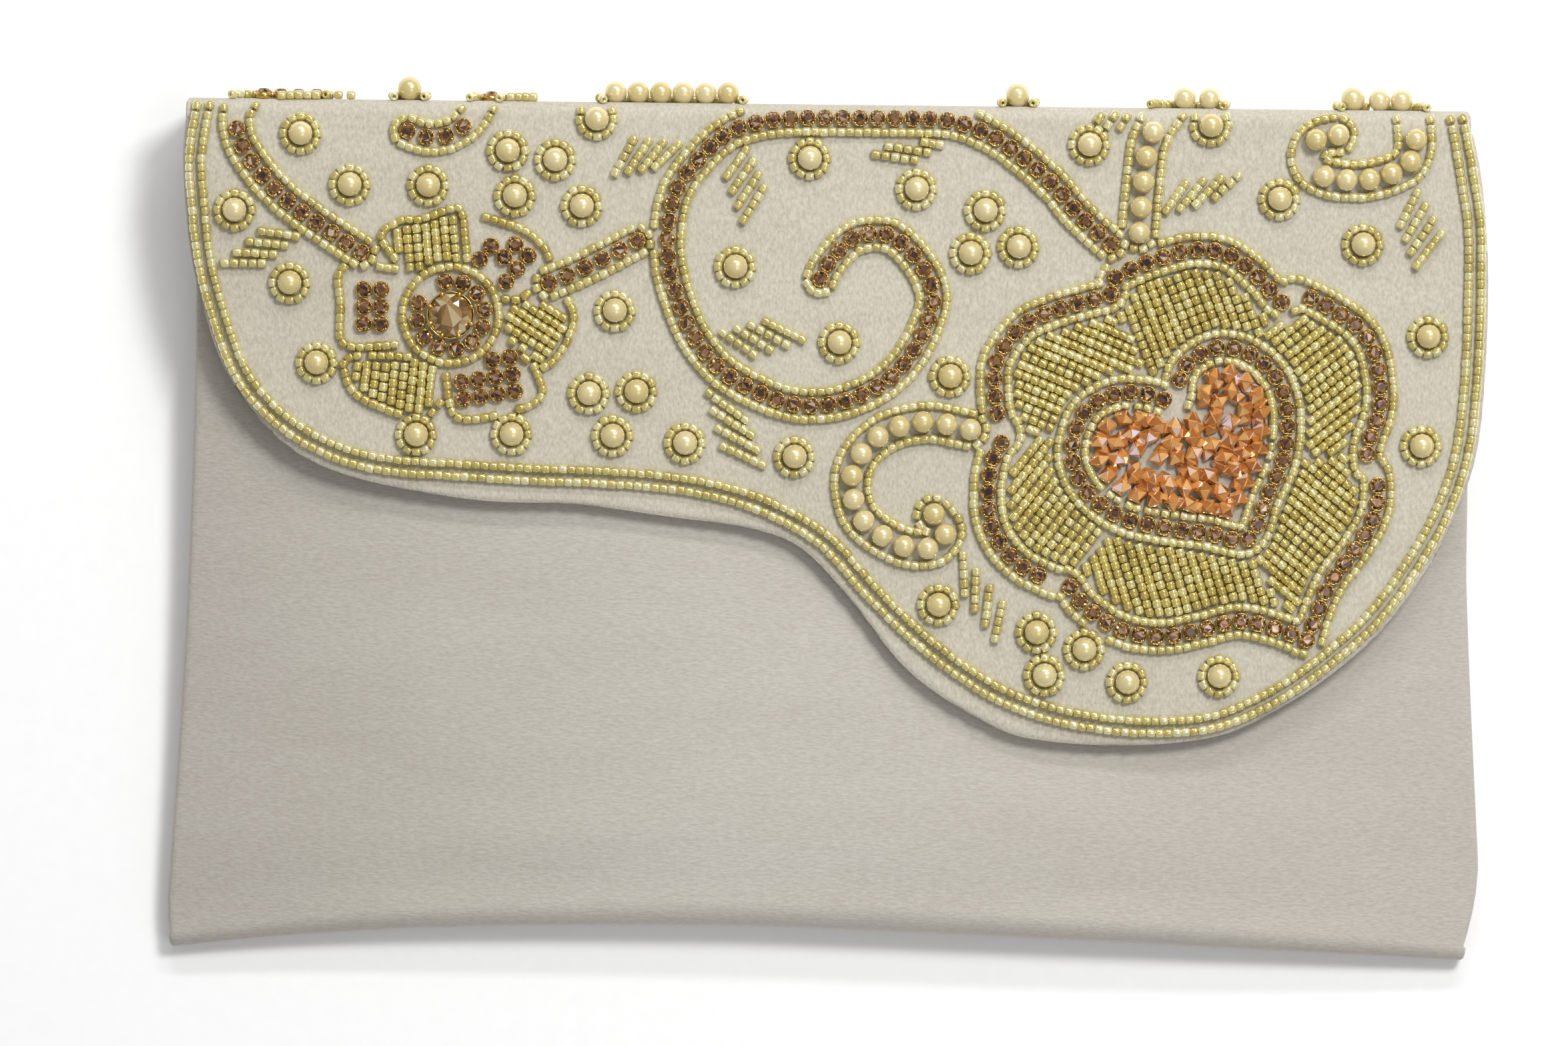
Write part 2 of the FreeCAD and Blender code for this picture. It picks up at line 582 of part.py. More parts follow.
def spine_point(x, v, d):
    """v 0..1 front bend, 1..2 straight, 2..3 back bend."""
    low, high = FOLD_R, TOP_Z - FOLD_R
    r = FOLD_R - d
    if v <= 1:
        a = math.pi / 4 * (1.06 + 0.94 * v)
        return place(x, FOLD_Y + r * math.sin(a), high + r * math.cos(a))
    if v < 2:
        return place(x, FOLD_Y + r, high + (low - high) * (v - 1))
    a = math.pi / 4 * (2 + 0.94 * (v - 2))
    return place(x, FOLD_Y + r * math.sin(a), low + r * math.cos(a))


def prism(outline):
    points = [place(p[0], p[1], -5) for p in outline]
    curve = Part.BSplineCurve()
    curve.interpolate(points)
    close = Part.makeLine(points[-1], points[0])
    face = Part.Face(Part.Wire([curve.toShape(), close]))
    return face.extrude(V(0, 0, 45))


def inset(outline, d):
    """The flap's edge line moved inward."""
    line = curve_through(outline, False, 6.0)
    return beside(line, d)


def gusset(side):
    """A V-folded side wall between the back and the front."""
    wires = []
    for y in (-62, -40, -10, 20, 50, 75):
        edge = left_x(y) + 1.6 if side < 0 else right_x(y) - 1.6
        top = front_z(edge, y) - 3.0
        mid = (top + 2.95) / 2
        tip = edge - side * 13
        notch = edge - side * 11
        corners = [(edge, 2.95), (tip, mid), (edge, top), (edge, top - 0.6), (notch, mid), (edge, 3.55)]
        wires.append(Part.makePolygon([place(p[0], y, p[1]) for p in corners + corners[:1]]))
    return Part.makeLoft(wires, True, True)


def flat_back():
    """The back's velvet: a flat plate whose sides follow the bag's outline."""
    us = steps(0, 1, 15)
    vs = steps(0, 1, 15)
    sides = [[back_point(0, v, 0) for v in vs], [back_point(u, 1, 0) for u in us],
             [back_point(1, v, 0) for v in reversed(vs)], [back_point(u, 0, 0) for u in reversed(us)]]
    edges = []
    for side in sides:
        curve = Part.BSplineCurve()
        curve.interpolate(side)
        edges.append(curve.toShape())
    return Part.Face(Part.Wire(edges)).extrude(V(0, 0, 1))


def quarter_bend(x0, x1, up):
    """The start of the bend round to the spine, part of a round tube's wall. up is 1 at the flap, -1 at the back."""
    middle = FOLD_R if up < 0 else TOP_Z - FOLD_R
    centre = place(x0, FOLD_Y, middle)
    wall = Part.makeCylinder(FOLD_R, x1 - x0, centre, V(1, 0, 0))
    wall = wall.cut(Part.makeCylinder(FOLD_R - 1, x1 - x0, centre, V(1, 0, 0)))
    away = 9 * math.tan(math.radians(45 * 0.94))
    corners = [(FOLD_Y, middle), (FOLD_Y, middle + 9 * up), (FOLD_Y + away, middle + 9 * up)]
    points = [place(x0, y, z) for (y, z) in corners]
    wedge = Part.Face(Part.makePolygon(points + points[:1])).extrude(V(x1 - x0, 0, 0))
    return wall.common(wedge)


def build_bag():
    us = steps(0, 1, 45)
    up = steps(0.0, 1.0, 34)
    inner_us = steps(0.012, 0.988, 45)
    x, y = SNAP
    n = V(flap_z(x - 1, y) - flap_z(x + 1, y), flap_z(x, y - 1) - flap_z(x, y + 1), 2.0).normalize()
    seat = place(x, y, front_z(x, y))
    hole = Part.makeCylinder(2.9, 8, seat - n * 5, n)
    pocket = Part.makeCylinder(7.4, 2.0, seat - n * 3.7, n)
    front = layer(front_point, us, up, 0.0, 1.0)
    bottom = layer(front_point, steps(0, 1, 24), steps(-2.0, -0.004, 9), 0.0, 1.0)
    save("front_velvet", [front.cut(hole), bottom])
    board = layer(front_point, inner_us, steps(0.045, 0.995, 34), 1.15, 2.25)
    save("front_board", [board.cut(hole).cut(pocket)])
    save("front_lining", [layer(front_point, inner_us, steps(0.045, 0.99, 34), 2.4, 2.8)])
    save("back_velvet", [flat_back().fuse(quarter_bend(left_x(80), right_x(80), -1)).removeSplitter()])
    save("back_board", [layer(back_point, inner_us, steps(0.012, 0.99, 12), 1.1, 2.3)])
    save("back_lining", [layer(back_point, inner_us, steps(0.012, 1.0, 12), 2.4, 2.8)])
    save("gusset_left", [gusset(-1)])
    save("gusset_right", [gusset(1)])
    case = Part.makeCylinder(8.0, 1.9, seat + n * 0.3, n)
    case = case.makeFillet(0.6, [case.Edges[0]])
    case = case.cut(Part.makeCylinder(3.2, 1.4, seat + n * 0.9, n))
    case = case.cut(Part.makeCylinder(6.9, 0.9, seat + n * 0.7, n))
    case = case.fuse(Part.makeCylinder(2.5, 1.8, seat - n * 1.45, n))
    save("snap_socket_case", [case])
    magnet = Part.makeCylinder(6.8, 0.8, seat + n * 0.75, n)
    save("snap_magnet", [magnet.cut(Part.makeCylinder(3.2, 3, seat, n))])
    washer = Part.makeCylinder(7.2, 0.5, seat - n * 2.25, n)
    save("snap_socket_washer", [washer.cut(Part.makeCylinder(1.2, 2, seat - n * 3, n))])


def build_spine():
    xs = steps(-127.4, 126.2, 27)
    rows = [0.0, 0.33, 0.66, 1.0] + steps(1.06, 1.94, 9) + [2.0, 2.33, 2.66, 3.0]
    save("spine_velvet", [layer(spine_point, xs, rows, 0.0, 1.0)])
    xs = steps(-126, 125, 27)
    save("spine_lining", [layer(spine_point, xs, steps(1.0, 2.0, 9), 1.1, 1.5)])


def build_flap():
    xs = steps(-134, 136, 34)
    flat = steps(-52, FOLD_Y - 0.02, 30)
    x, y = SNAP
    n = V(flap_z(x - 1, y) - flap_z(x + 1, y), flap_z(x, y - 1) - flap_z(x, y + 1), 2.0).normalize()
    seat = place(x, y, flap_z(x, y) - 2.8)
    hole = Part.makeCylinder(2.9, 1.7, seat - n * 0.5, n)
    pocket = Part.makeCylinder(7.4, 1.2, seat + n * 1.1, n)
    edge = prism(FLAP_EDGE)
    velvet = layer(flap_point, xs, flat, 0.0, 1.0).common(edge)
    save("flap_velvet", [velvet, quarter_bend(-128.7, 128.0, 1)])
    board = layer(flap_point, xs, flat[:-1], 1.1, 2.3).common(prism(inset(FLAP_EDGE, 1.6)))
    save("flap_board", [board.cut(hole).cut(pocket)])
    lining = layer(flap_point, xs, flat, 2.4, 2.8).common(prism(inset(FLAP_EDGE, 1.1)))
    save("flap_lining", [lining.cut(hole)])
    stud = Part.makeCylinder(6.2, 0.7, seat - n * 0.8, n)
    stud = stud.fuse(Part.makeCylinder(2.6, 1.3, seat - n * 1.9, n))
    stud = stud.fuse(Part.makeCylinder(2.5, 1.2, seat - n * 0.2, n))
    save("snap_stud", [stud])
    washer = Part.makeCylinder(7.2, 0.5, seat + n * 1.15, n)
    save("snap_stud_washer", [washer.cut(Part.makeCylinder(1.2, 2, seat, n))])


build_bag()
build_spine()
build_flap()
embroider()
for group_name in sorted(groups):
    save(group_name, groups[group_name])
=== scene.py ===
"""Envelope clutch in ivory velvet: cloth, beads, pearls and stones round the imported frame."""
import math
import random

import bmesh
import bpy
import numpy as np
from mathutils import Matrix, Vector, noise


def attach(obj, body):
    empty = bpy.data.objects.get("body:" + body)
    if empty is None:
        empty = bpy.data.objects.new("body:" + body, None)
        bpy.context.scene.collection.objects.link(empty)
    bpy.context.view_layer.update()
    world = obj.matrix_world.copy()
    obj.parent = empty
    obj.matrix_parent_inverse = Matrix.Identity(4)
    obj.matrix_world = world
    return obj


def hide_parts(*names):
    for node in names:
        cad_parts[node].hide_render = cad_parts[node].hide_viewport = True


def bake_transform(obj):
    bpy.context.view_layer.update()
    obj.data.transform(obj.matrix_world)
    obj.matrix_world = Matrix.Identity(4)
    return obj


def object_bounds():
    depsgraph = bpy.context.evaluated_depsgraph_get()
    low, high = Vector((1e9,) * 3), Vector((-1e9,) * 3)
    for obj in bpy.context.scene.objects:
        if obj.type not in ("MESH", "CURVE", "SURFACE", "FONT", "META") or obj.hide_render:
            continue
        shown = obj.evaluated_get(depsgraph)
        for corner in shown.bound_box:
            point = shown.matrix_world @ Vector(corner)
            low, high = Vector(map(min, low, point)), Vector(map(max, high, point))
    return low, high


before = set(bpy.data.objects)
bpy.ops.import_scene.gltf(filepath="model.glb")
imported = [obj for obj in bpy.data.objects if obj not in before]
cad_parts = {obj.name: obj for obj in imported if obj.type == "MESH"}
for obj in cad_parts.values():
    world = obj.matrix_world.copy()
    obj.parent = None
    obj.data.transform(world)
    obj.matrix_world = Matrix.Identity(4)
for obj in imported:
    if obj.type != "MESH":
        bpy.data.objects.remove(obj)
cad_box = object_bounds()
pick = random.Random(11)

# Millimetres, as in the CAD drawing of the cloth: x across, s up the flap and over the top fold.
MM = 0.001
SHIFT_X, SHIFT_Y = 0.3, 1.7
FOLD_Y, FOLD_R, TOP_Z = 81.5, 3.1, 24.2
FOLD_S = FOLD_Y + FOLD_R * math.pi / 4
SEAM_Y = 80.6                    # where the flap and back cloth hand over to the fold strips
PEARL, STRING_PEARL, BEAD = 2.4, 2.2, 0.95
BEAD_PITCH = 1.74
CUP, PITCH, EDGE = 1.66, 3.45, 2.75
SNAP = (56.0, -26.0)
PANEL_HALF, SATIN_HALF = 1.15, 0.2      # half the thickness of a velvet panel and of the satin
SATIN_DEPTH, FOLD_SATIN = 2.36, 1.3     # how deep the satin lies under the boards, and in the folds
LINING_INSET, BOARD_TOP = 1.1, 77.2     # lining edge inside the flap's edge, and where the board ends
SHARP = 0.87                            # edges that turn more than this, in radians, stay sharp


# ---------------------------------------------------------------- heights of the cloth
def smooth(t):
    t = min(max(t, 0.0), 1.0)
    return t * t * (3 - 2 * t)


def drop(y):
    return 4.5 * (max(0.0, 76 - y) / 119) ** 2


def flap_z(x, y):
    bow = 4.0 * (x / 129) ** 2 * smooth((FOLD_Y - y) / 60)
    return TOP_Z - bow - drop(y)


def front_z(x, y):
    middle = 20.2 - drop(y)
    t = min(max((y + 85) / 161, 0.0), 1.0)
    side = 6.6 + 7.4 * t ** 0.9
    z = middle - (middle - side) * min(1.0, abs(x / 129.5)) ** 2.4
    away = math.hypot(x - SNAP[0], y - SNAP[1]) / 14
    return z - 2.2 / (1 + away ** 6)


def left_x(y):
    x = -127.4 - 5.0 * (max(0.0, 35 - y) / 114) ** 1.7
    return x + 1.9 * (max(0.0, -76 - y) / 10) ** 2


def right_x(y):
    x = 129.4 + 3.3 * min(1.0, max(0.0, -7 - y) / 60) ** 1.2
    return x - 3.6 * (max(0.0, -66 - y) / 20) ** 2


def bottom_y(x):
    if x < -15:
        return -80.9 - 5.5 * (min(1.0, (-15 - x) / 116)) ** 2.8
    return -80.9 - 5.5 * (min(1.0, (x + 15) / 145)) ** 1.2


def place(x, y, z):
    return Vector(((x - SHIFT_X) * MM, (y - SHIFT_Y) * MM, z * MM))


def skin(x, s, up=0.0):
    """A point above the beaded cloth: flat flap, bend, then straight down the spine."""
    if s <= FOLD_Y:
        return place(x, s, flap_z(x, s) + up)
    turn = (s - FOLD_Y) / FOLD_R
    r = FOLD_R + up
    if turn <= math.pi / 2:
        return place(x, FOLD_Y + r * math.sin(turn), TOP_Z - FOLD_R + r * math.cos(turn))
    down = s - FOLD_Y - FOLD_R * math.pi / 2
    return place(x, FOLD_Y + r, TOP_Z - FOLD_R - down)


def skin_axes(x, s, dx, ds):
    """Unit vectors along (dx, ds) on the cloth, across it, and out of it."""
    here = skin(x, s)
    along = (skin(x + dx * 0.3, s + ds * 0.3) - here).normalized()
    across = (skin(x - ds * 0.3, s + dx * 0.3) - here).normalized()
    out = along.cross(across).normalized()
    return along, out.cross(along), out


# ---------------------------------------------------------------- lines on the cloth
def curve_through(points, closed=False, step=0.5):
    """A smooth line through given points, walked in even steps."""
    n = len(points)
    fine = []
    for k in range(n if closed else n - 1):
        a = points[k - 1] if closed or k > 0 else points[0]
        b = points[k]
        c = points[(k + 1) % n]
        d = points[(k + 2) % n] if closed or k < n - 2 else points[-1]
        for m in range(24):
            t = m / 24
            fine.append(tuple(0.5 * (2 * b[i] + (c[i] - a[i]) * t
                        + (2 * a[i] - 5 * b[i] + 4 * c[i] - d[i]) * t * t
                        + (3 * b[i] - a[i] - 3 * c[i] + d[i]) * t ** 3) for i in (0, 1)))
    fine.append(points[0] if closed else points[-1])
    return even(fine, step)


def length_of(line):
    return sum(math.dist(line[k], line[k + 1]) for k in range(len(line) - 1))


def even(line, step):
    """The same line in equal steps, as near to step as fits."""
    count = max(1, round(length_of(line) / step))
    gap = length_of(line) / count
    out = [line[0]]
    travelled, want = 0.0, gap
    for k in range(len(line) - 1):
        a, b = line[k], line[k + 1]
        d = math.dist(a, b)
        while d > 0 and travelled + d >= want - 1e-6 and len(out) < count:
            f = (want - travelled) / d
            out.append((a[0] + (b[0] - a[0]) * f, a[1] + (b[1] - a[1]) * f))
            want += gap
        travelled += d
    out.append(line[-1])
    return out


def spaced(line, least, closed=False):
    """Even spots at least this far apart; a closed line starts where its stones crowd least."""
    best, fewest = None, 99
    for m in range(0, 8 if closed else 1):
        turned_line = line[m:-1] + line[:m + 1] if closed else line
        spots = even(turned_line, length_of(line) / max(1, int(length_of(line) / least)))
        tight = sum(1 for k in range(len(spots) - 1) if math.dist(spots[k], spots[k + 1]) < 2 * CUP + 0.02)
        if tight < fewest:
            best, fewest = spots, tight
    return best


def beside(line, d, closed=False):
    """The line a distance d to the left, without the loops it makes in tight corners."""
    out = []
    n = len(line)
    for k in range(n):
        a = line[k - 1] if k > 0 else (line[-2] if closed else line[0])
        b = line[k + 1] if k < n - 1 else (line[1] if closed else line[-1])
        dx, dy = b[0] - a[0], b[1] - a[1]
        size = math.hypot(dx, dy) or 1.0
        p = (line[k][0] - dy / size * d, line[k][1] + dx / size * d)
        if min(math.dist(p, q) for q in line) > abs(d) - 0.12:
            out.append(p)
    return out


def steps(a, b, n):
    return [a + (b - a) * k / (n - 1) for k in range(n)]


def round_end(line, d, first):
    """A half ring of radius d round one end of a line."""
    a, b = (line[0], line[2]) if first else (line[-1], line[-3])
    away = math.atan2(a[1] - b[1], a[0] - b[0])
    angles = steps(away + math.pi / 2, away - math.pi / 2, 20)
    return [(a[0] + d * math.cos(t), a[1] + d * math.sin(t)) for t in angles]


def ring(x, s, r, n=44):
    turn = 2 * math.pi / n
    return [(x + r * math.cos(turn * k), s + r * math.sin(turn * k)) for k in range(n + 1)]


def inside(p, outline):
    hit = False
    for k in range(len(outline)):
        a, b = outline[k - 1], outline[k]
        if (a[1] > p[1]) != (b[1] > p[1]):
            if p[0] < (b[0] - a[0]) * (p[1] - a[1]) / (b[1] - a[1]) + a[0]:
                hit = not hit
    return hit


def hatch(outline, degrees, pitch):
    """Parallel strands across an outline."""
    c, s = math.cos(math.radians(degrees)), math.sin(math.radians(degrees))
    mx = sum(p[0] for p in outline) / len(outline)
    my = sum(p[1] for p in outline) / len(outline)
    lines = []
    for k in range(-14, 15):
        line = []
        for m in range(-64, 65):
            p = (mx + c * m * 0.5 - s * k * pitch, my + s * m * 0.5 + c * k * pitch)
            if inside(p, outline):
                line.append(p)
        if len(line) > 4:
            lines.append(line)
    return lines


class Cloth:
    """What is already sewn on, so that nothing is sewn twice in one place."""

    def __init__(self):
        self.cells = {}

    def add(self, x, s, r, tag):
        self.cells.setdefault((int(x // 6), int(s // 6)), []).append((x, s, r, tag))

    def free(self, x, s, r, tag):
        cx, cy = int(x // 6), int(s // 6)
        for i in (-1, 0, 1):
            for j in (-1, 0, 1):
                for (px, ps, pr, ptag) in self.cells.get((cx + i, cy + j), ()):
                    if ptag != tag and math.hypot(px - x, ps - s) < pr + r + 0.02:
                        return False
        return True


cloth = Cloth()
sewn = {}      # CAD node name -> where each of its beads, pearls or stones goes


def sew(name, x, s, dx, ds, up, size=1.0):
    """Note one piece: its place, its axes and its size. Past the fold line it rides the spine."""
    node = name if s < FOLD_S else "spine_" + name.split("_", 1)[1]
    along, across, out = skin_axes(x, s, dx, ds)
    sewn.setdefault(node, []).append((skin(x, s, up), along, across, out, size))


# ---------------------------------------------------------------- the embroidery drawing
FLAP_EDGE = [(-128.2, 86), (-128.9, 80), (-129.3, 72), (-128.5, 60), (-127, 50), (-123.8, 38),
             (-120, 29), (-113, 19.5), (-104, 12.5), (-90, 7.8), (-69.5, 4.6), (-50, 4), (-32, 1.8),
             (-15, -0.5), (-5, -4.2), (4.1, -13.3), (14.6, -26.4), (22.7, -33.2), (32, -38.6),
             (41.3, -42), (60.4, -43.2), (79.5, -41), (93, -34.5), (103.3, -27.3), (112.3, -19),
             (120.2, -8.2), (126.3, 3.8), (130.3, 16.2), (131.8, 32), (132, 52), (130.5, 69.6),
             (128, 81.6), (126.4, 86)]
BORDER = [(-126.2, 84.5), (-127.9, 73), (-127.3, 62.6), (-126.1, 52.2), (-123.4, 41.7), (-119, 30),
          (-112.8, 21.8), (-104.4, 15.6), (-95.3, 11.8), (-86.3, 10.1), (-75.9, 9.5), (-60, 8.7),
          (-44, 8.2), (-29.4, 7.1), (-18.3, 4.8), (-9.1, 1.3), (-0.3, -4.2), (8.4, -13.7),
          (17.4, -22.3), (26.2, -29.1), (36.6, -35.1), (49.4, -39), (65, -40.6), (79.5, -39.1),
          (92.1, -33.2), (101.9, -26.1), (110.8, -17.9), (118.5, -7.4), (124.8, 4.2), (128.7, 16.4),
          (130.3, 32.1), (130.6, 48), (130.3, 60.9), (129, 69.6), (126.7, 81.6), (125.5, 85)]
SINGLES = [(-105.7, 77.5), (-95.8, 67.4), (-80.1, 67.4), (-118.8, 62.1), (-107.7, 47.7),
           (-102.2, 31.8), (-84.3, 87), (-49.4, 63.6), (-46.6, 81), (-42.6, 42.8), (-18.6, 51.8),
           (-4, 73.6), (17.4, 67.7), (51.8, 76.9), (2.3, 36.9), (24.5, 30.4), (37.5, 87),
           (76, 81), (89.9, 66.5), (106.7, 57.6), (120.1, 39.4), (104.7, 87.6), (119.1, 17.5),
           (79.1, -29), (60.7, -30.4), (22.7, -15.3), (-63, 17.9), (-28.3, 16.5), (-6.4, 14),
           (-82.1, 17.6)]
CLUSTERS = [(-64.3, 74.5), (-54.8, 72.8), (-62.8, 65.5), (31.2, 63.6), (28.3, 55), (37.9, 56.4),
            (42.4, -20.6), (52, -23.9), (44.1, -29.2), (-47.6, 26.2), (-38.1, 26.7), (-42.8, 17.8)]
STRINGS = [[(28.6, 19.8), (19.3, 21.2), (10.6, 18.4), (5.3, 11.3), (6.7, 2.5), (13.9, -3),
            (20.6, -4), (24, -0.8), (21.6, 2.8)],
           [(61.9, 59.5), (62.5, 67.9), (63.6, 77), (66.2, 82.5), (70.5, 86.9), (76, 87.3)],
           [(101.4, 79.4), (97, 78.4), (95.6, 74.2), (99, 71), (107.9, 70.6), (115.7, 74),
            (116.8, 80.8), (114.5, 87.2), (110, 87.6)],
           [(-43, 87.4), (-35, 87.2), (-27.3, 87), (-20.5, 87)]]
VINES = [[(-103, 88.4), (-110, 88), (-115.5, 85.6), (-118.3, 82.1), (-118, 76.4), (-114.3, 70.4),
          (-109.3, 65), (-103.2, 60.4), (-93.4, 54)],
         [(-84.4, 78.2), (-81.3, 77.1), (-77.7, 77.1), (-74.3, 78.5), (-71.4, 81), (-69, 85.4), (-68, 89.5)],
         [(-55.8, 48.2), (-48.4, 51.5), (-38.3, 56.8)],
         [(56.3, 57.1), (50.1, 62.7), (44.9, 68.7), (38.5, 74.3), (32.2, 78.5), (25.1, 81.2),
          (17.7, 81.7), (9.8, 81.7), (1.7, 81.7), (-5.7, 81.6), (-13.3, 80.9), (-20.3, 78.6),
          (-26, 73.4), (-30.5, 67), (-32.1, 59.5), (-31.9, 52.1), (-29.6, 44.2), (-26.4, 37.3),
          (-21, 31), (-13.7, 26.8), (-6.6, 24.5), (1.7, 24.8), (9.7, 28), (15.1, 32.6),
          (19.1, 39.2), (21, 46.6), (17.8, 53.5), (12.1, 58.4), (5.1, 57.9), (0, 52.7), (-1.6, 49.5)]]
FLOWER = [(56.4, 47.2), (57.5, 50.6), (64.4, 53.9), (72.7, 56.2), (79.9, 55.3), (86, 50.8),
          (90.6, 46), (93.3, 48), (101.2, 44.5), (107.6, 39.5), (110.2, 32.5), (110.6, 24.9),
          (108.4, 18), (108.4, 13.9), (110.2, 11.3), (110, 4.1), (106.3, -2.9), (101.2, -9.9),
          (98.3, -16.9), (96.6, -21.5), (92.3, -19.9), (83.3, -17.9), (74.9, -19.8), (67.1, -21.2),
          (59, -19.8), (51.8, -15), (48.5, -10.9), (45.6, -10.4), (38.4, -6.7), (33.4, -0.1),
          (32.3, 8), (33.8, 15.8), (36.1, 18.7), (34, 23), (33.4, 29.4), (34.2, 34.6),
          (39.1, 40.9), (46, 44.1), (53.2, 46.2)]
HEART = [(69.6, 26), (64.8, 27.2), (58, 27.4), (51.9, 24.1), (49.3, 18.3), (49.4, 12.8), (52.7, 7),
         (59.4, 2.5), (67.7, 0.7), (76.2, -0.3), (84.6, -1.4), (88, 6.7), (91.2, 14), (92.1, 22.4),
         (90.3, 29.9), (84.8, 35.4), (77.5, 36.7), (71.2, 32.6)]
HEART_MIDDLE = (72.0, 15.5)
# the flower's notches in order, and the lay of the strands in the petal after each
PETAL_NOTCHES = [(56.4, 47.2), (90.6, 46), (108.4, 15.9), (96.6, -21.5), (48.5, -10.9), (36.1, 18.7)]
PETAL_WAYS = [112, 38, -38, 108, 52, 158]
ROSETTE = (-75.4, 41.6)
STONE_PETALS = [([(-86.6, 35.6), (-96.6, 35.6), (-97.4, 43), (-97, 50.8), (-86.6, 50.8)], 0),
                ([(-68.5, 61.2), (-61.3, 58.9), (-57, 55.5), (-55.6, 52), (-57, 48.6), (-60.6, 45.6)], -40),
                ([(-76.2, 29.2), (-73.9, 21.2), (-63.4, 22.4), (-57, 25.6), (-58.6, 31.4)], 9)]
BEAD_PETALS = [([(-84.8, 50.6), (-89.4, 57.2), (-85.4, 60.4), (-81.8, 60.6), (-76.8, 62.3),
                 (-73.4, 62.2), (-72.2, 52)], 96),
               ([(-65.4, 45), (-60.2, 44.8), (-53, 45.4), (-50.8, 41), (-52.9, 35.2), (-57, 31.4),
                 (-63, 35)], -32),
               ([(-84, 33.2), (-95.4, 33), (-96.4, 29.2), (-93.2, 24.9), (-83.7, 21.4), (-77.8, 23),
                 (-77.4, 30.4)], 84)]
# first strand, last strand, and how many strands lie between them
LEAVES = [((-113.3, 58), (-106.5, 57), (-120.7, 51.6), (-113.3, 51.5), 4),
          ((-108.5, 84.2), (-101, 84.2), (-103, 86.4), (-96, 86.4), 2),
          ((-42.7, 70.3), (-39.3, 76.8), (-34.8, 71.6), (-30.4, 76.1), 4),
          ((-20.4, 70), (-16.5, 75.5), (-17.1, 61.2), (-13.2, 67.4), 4),
          ((-12.4, 40.9), (-5.1, 37.5), (-20.9, 38.6), (-14.8, 34.4), 4),
          ((-23.6, 26.5), (-16.3, 21.3), (-20.6, 15.9), (-12.8, 12.4), 4),
          ((9.2, 74.6), (16.9, 73.5), (16.9, 79.4), (24.5, 78.2), 4),
          ((67.1, 63.6), (71, 69.2), (76.4, 66.1), (81.5, 71), 4),
          ((114.3, 61.7), (117.4, 68), (117.6, 53.6), (122.3, 59.9), 4),
          ((27.6, -5.4), (28, -12.9), (35.6, -15.1), (34.2, -22), 4),
          ((53, 81), (55.6, 84.8), (58, 80.6), (60.6, 84.4), 3),
          ((-65.5, 86.4), (-59.5, 86.2), (-61, 83.2), (-55, 82.8), 2),
          ((88.5, 84.5), (95.7, 84.8), (88.5, 84.5), (95.7, 84.8), 1)]


# ---------------------------------------------------------------- sewing the drawing on
def pearl(name, x, s, r):
    if cloth.free(x, s, r, None) and abs(s - FOLD_S) > 2.9:
        cloth.add(x, s, r, "pearl")
        sew(name, x, s, 1, 0, r - 0.1, r)


def set_stone(family, x, s, turn=0.0, r=CUP):
    if cloth.free(x, s, r, None) and abs(s - FOLD_S) > 2.15:
        cloth.add(x, s, r, "stone")
        dx, ds = math.cos(turn), math.sin(turn)
        sew(family + "_cups", x, s, dx, ds, 0.0, r / CUP)
        sew(family + "_stones", x, s, dx, ds, 0.0, r / CUP)


def chain(family, line, closed):
    """Cup chain: stones at one pitch, each turned to face along the chain."""
    spots = spaced(line, PITCH, closed)
    for k, p in enumerate(spots[:-1] if closed else spots):
        a, b = spots[max(0, k - 1)], spots[min(len(spots) - 1, k + 1)]
        set_stone(family, p[0], p[1], math.atan2(b[1] - a[1], b[0] - a[0]))


def sew_row(name, line, tag, least=2.2):
    """A row of seed beads along a line, left out wherever something else already sits."""
    runs, run = [], []
    for p in line:
        ok = cloth.free(p[0], p[1], BEAD - 0.06, tag) and abs(p[1] - FOLD_S) > 1.25
        if run and (not ok or math.dist(p, run[-1]) > 1.6):
            runs.append(run)
            run = []
        if ok:
            run.append(p)
    runs.append(run)
    for run in runs:
        if len(run) < 2 or length_of(run) < least - BEAD_PITCH:
            continue
        marks = even(run, BEAD_PITCH)
        closed = math.dist(marks[0], marks[-1]) < 0.5 and len(marks) > 4
        for k, p in enumerate(marks[:-1] if closed else marks):
            a, b = marks[max(0, k - 1)], marks[min(len(marks) - 1, k + 1)]
            lean = pick.uniform(-0.10, 0.10)
            way = math.atan2(b[1] - a[1], b[0] - a[0]) + lean
            drift = pick.uniform(-0.06, 0.06)
            x, s = p[0] - drift * math.sin(way), p[1] + drift * math.cos(way)
            sew(name, x, s, math.cos(way), math.sin(way), BEAD - 0.06, pick.uniform(0.95, 1.04))
        for p in run:
            cloth.add(p[0], p[1], BEAD - 0.06, tag)


def edge_line(name, lines, d):
    """Bead rows down both sides of a vine or a pearl string, closed round its ends."""
    node = "flap_%s_edge_beads" % name
    for k, line in enumerate(lines):
        tag = "%s %d" % (name, k)
        sew_row(node, beside(line, d), tag)
        sew_row(node, beside(line, -d), tag + " far")
        sew_row(node, round_end(line, d, True)[2:-2], tag + " head")
        sew_row(node, round_end(line, d, False)[2:-2], tag + " tail")


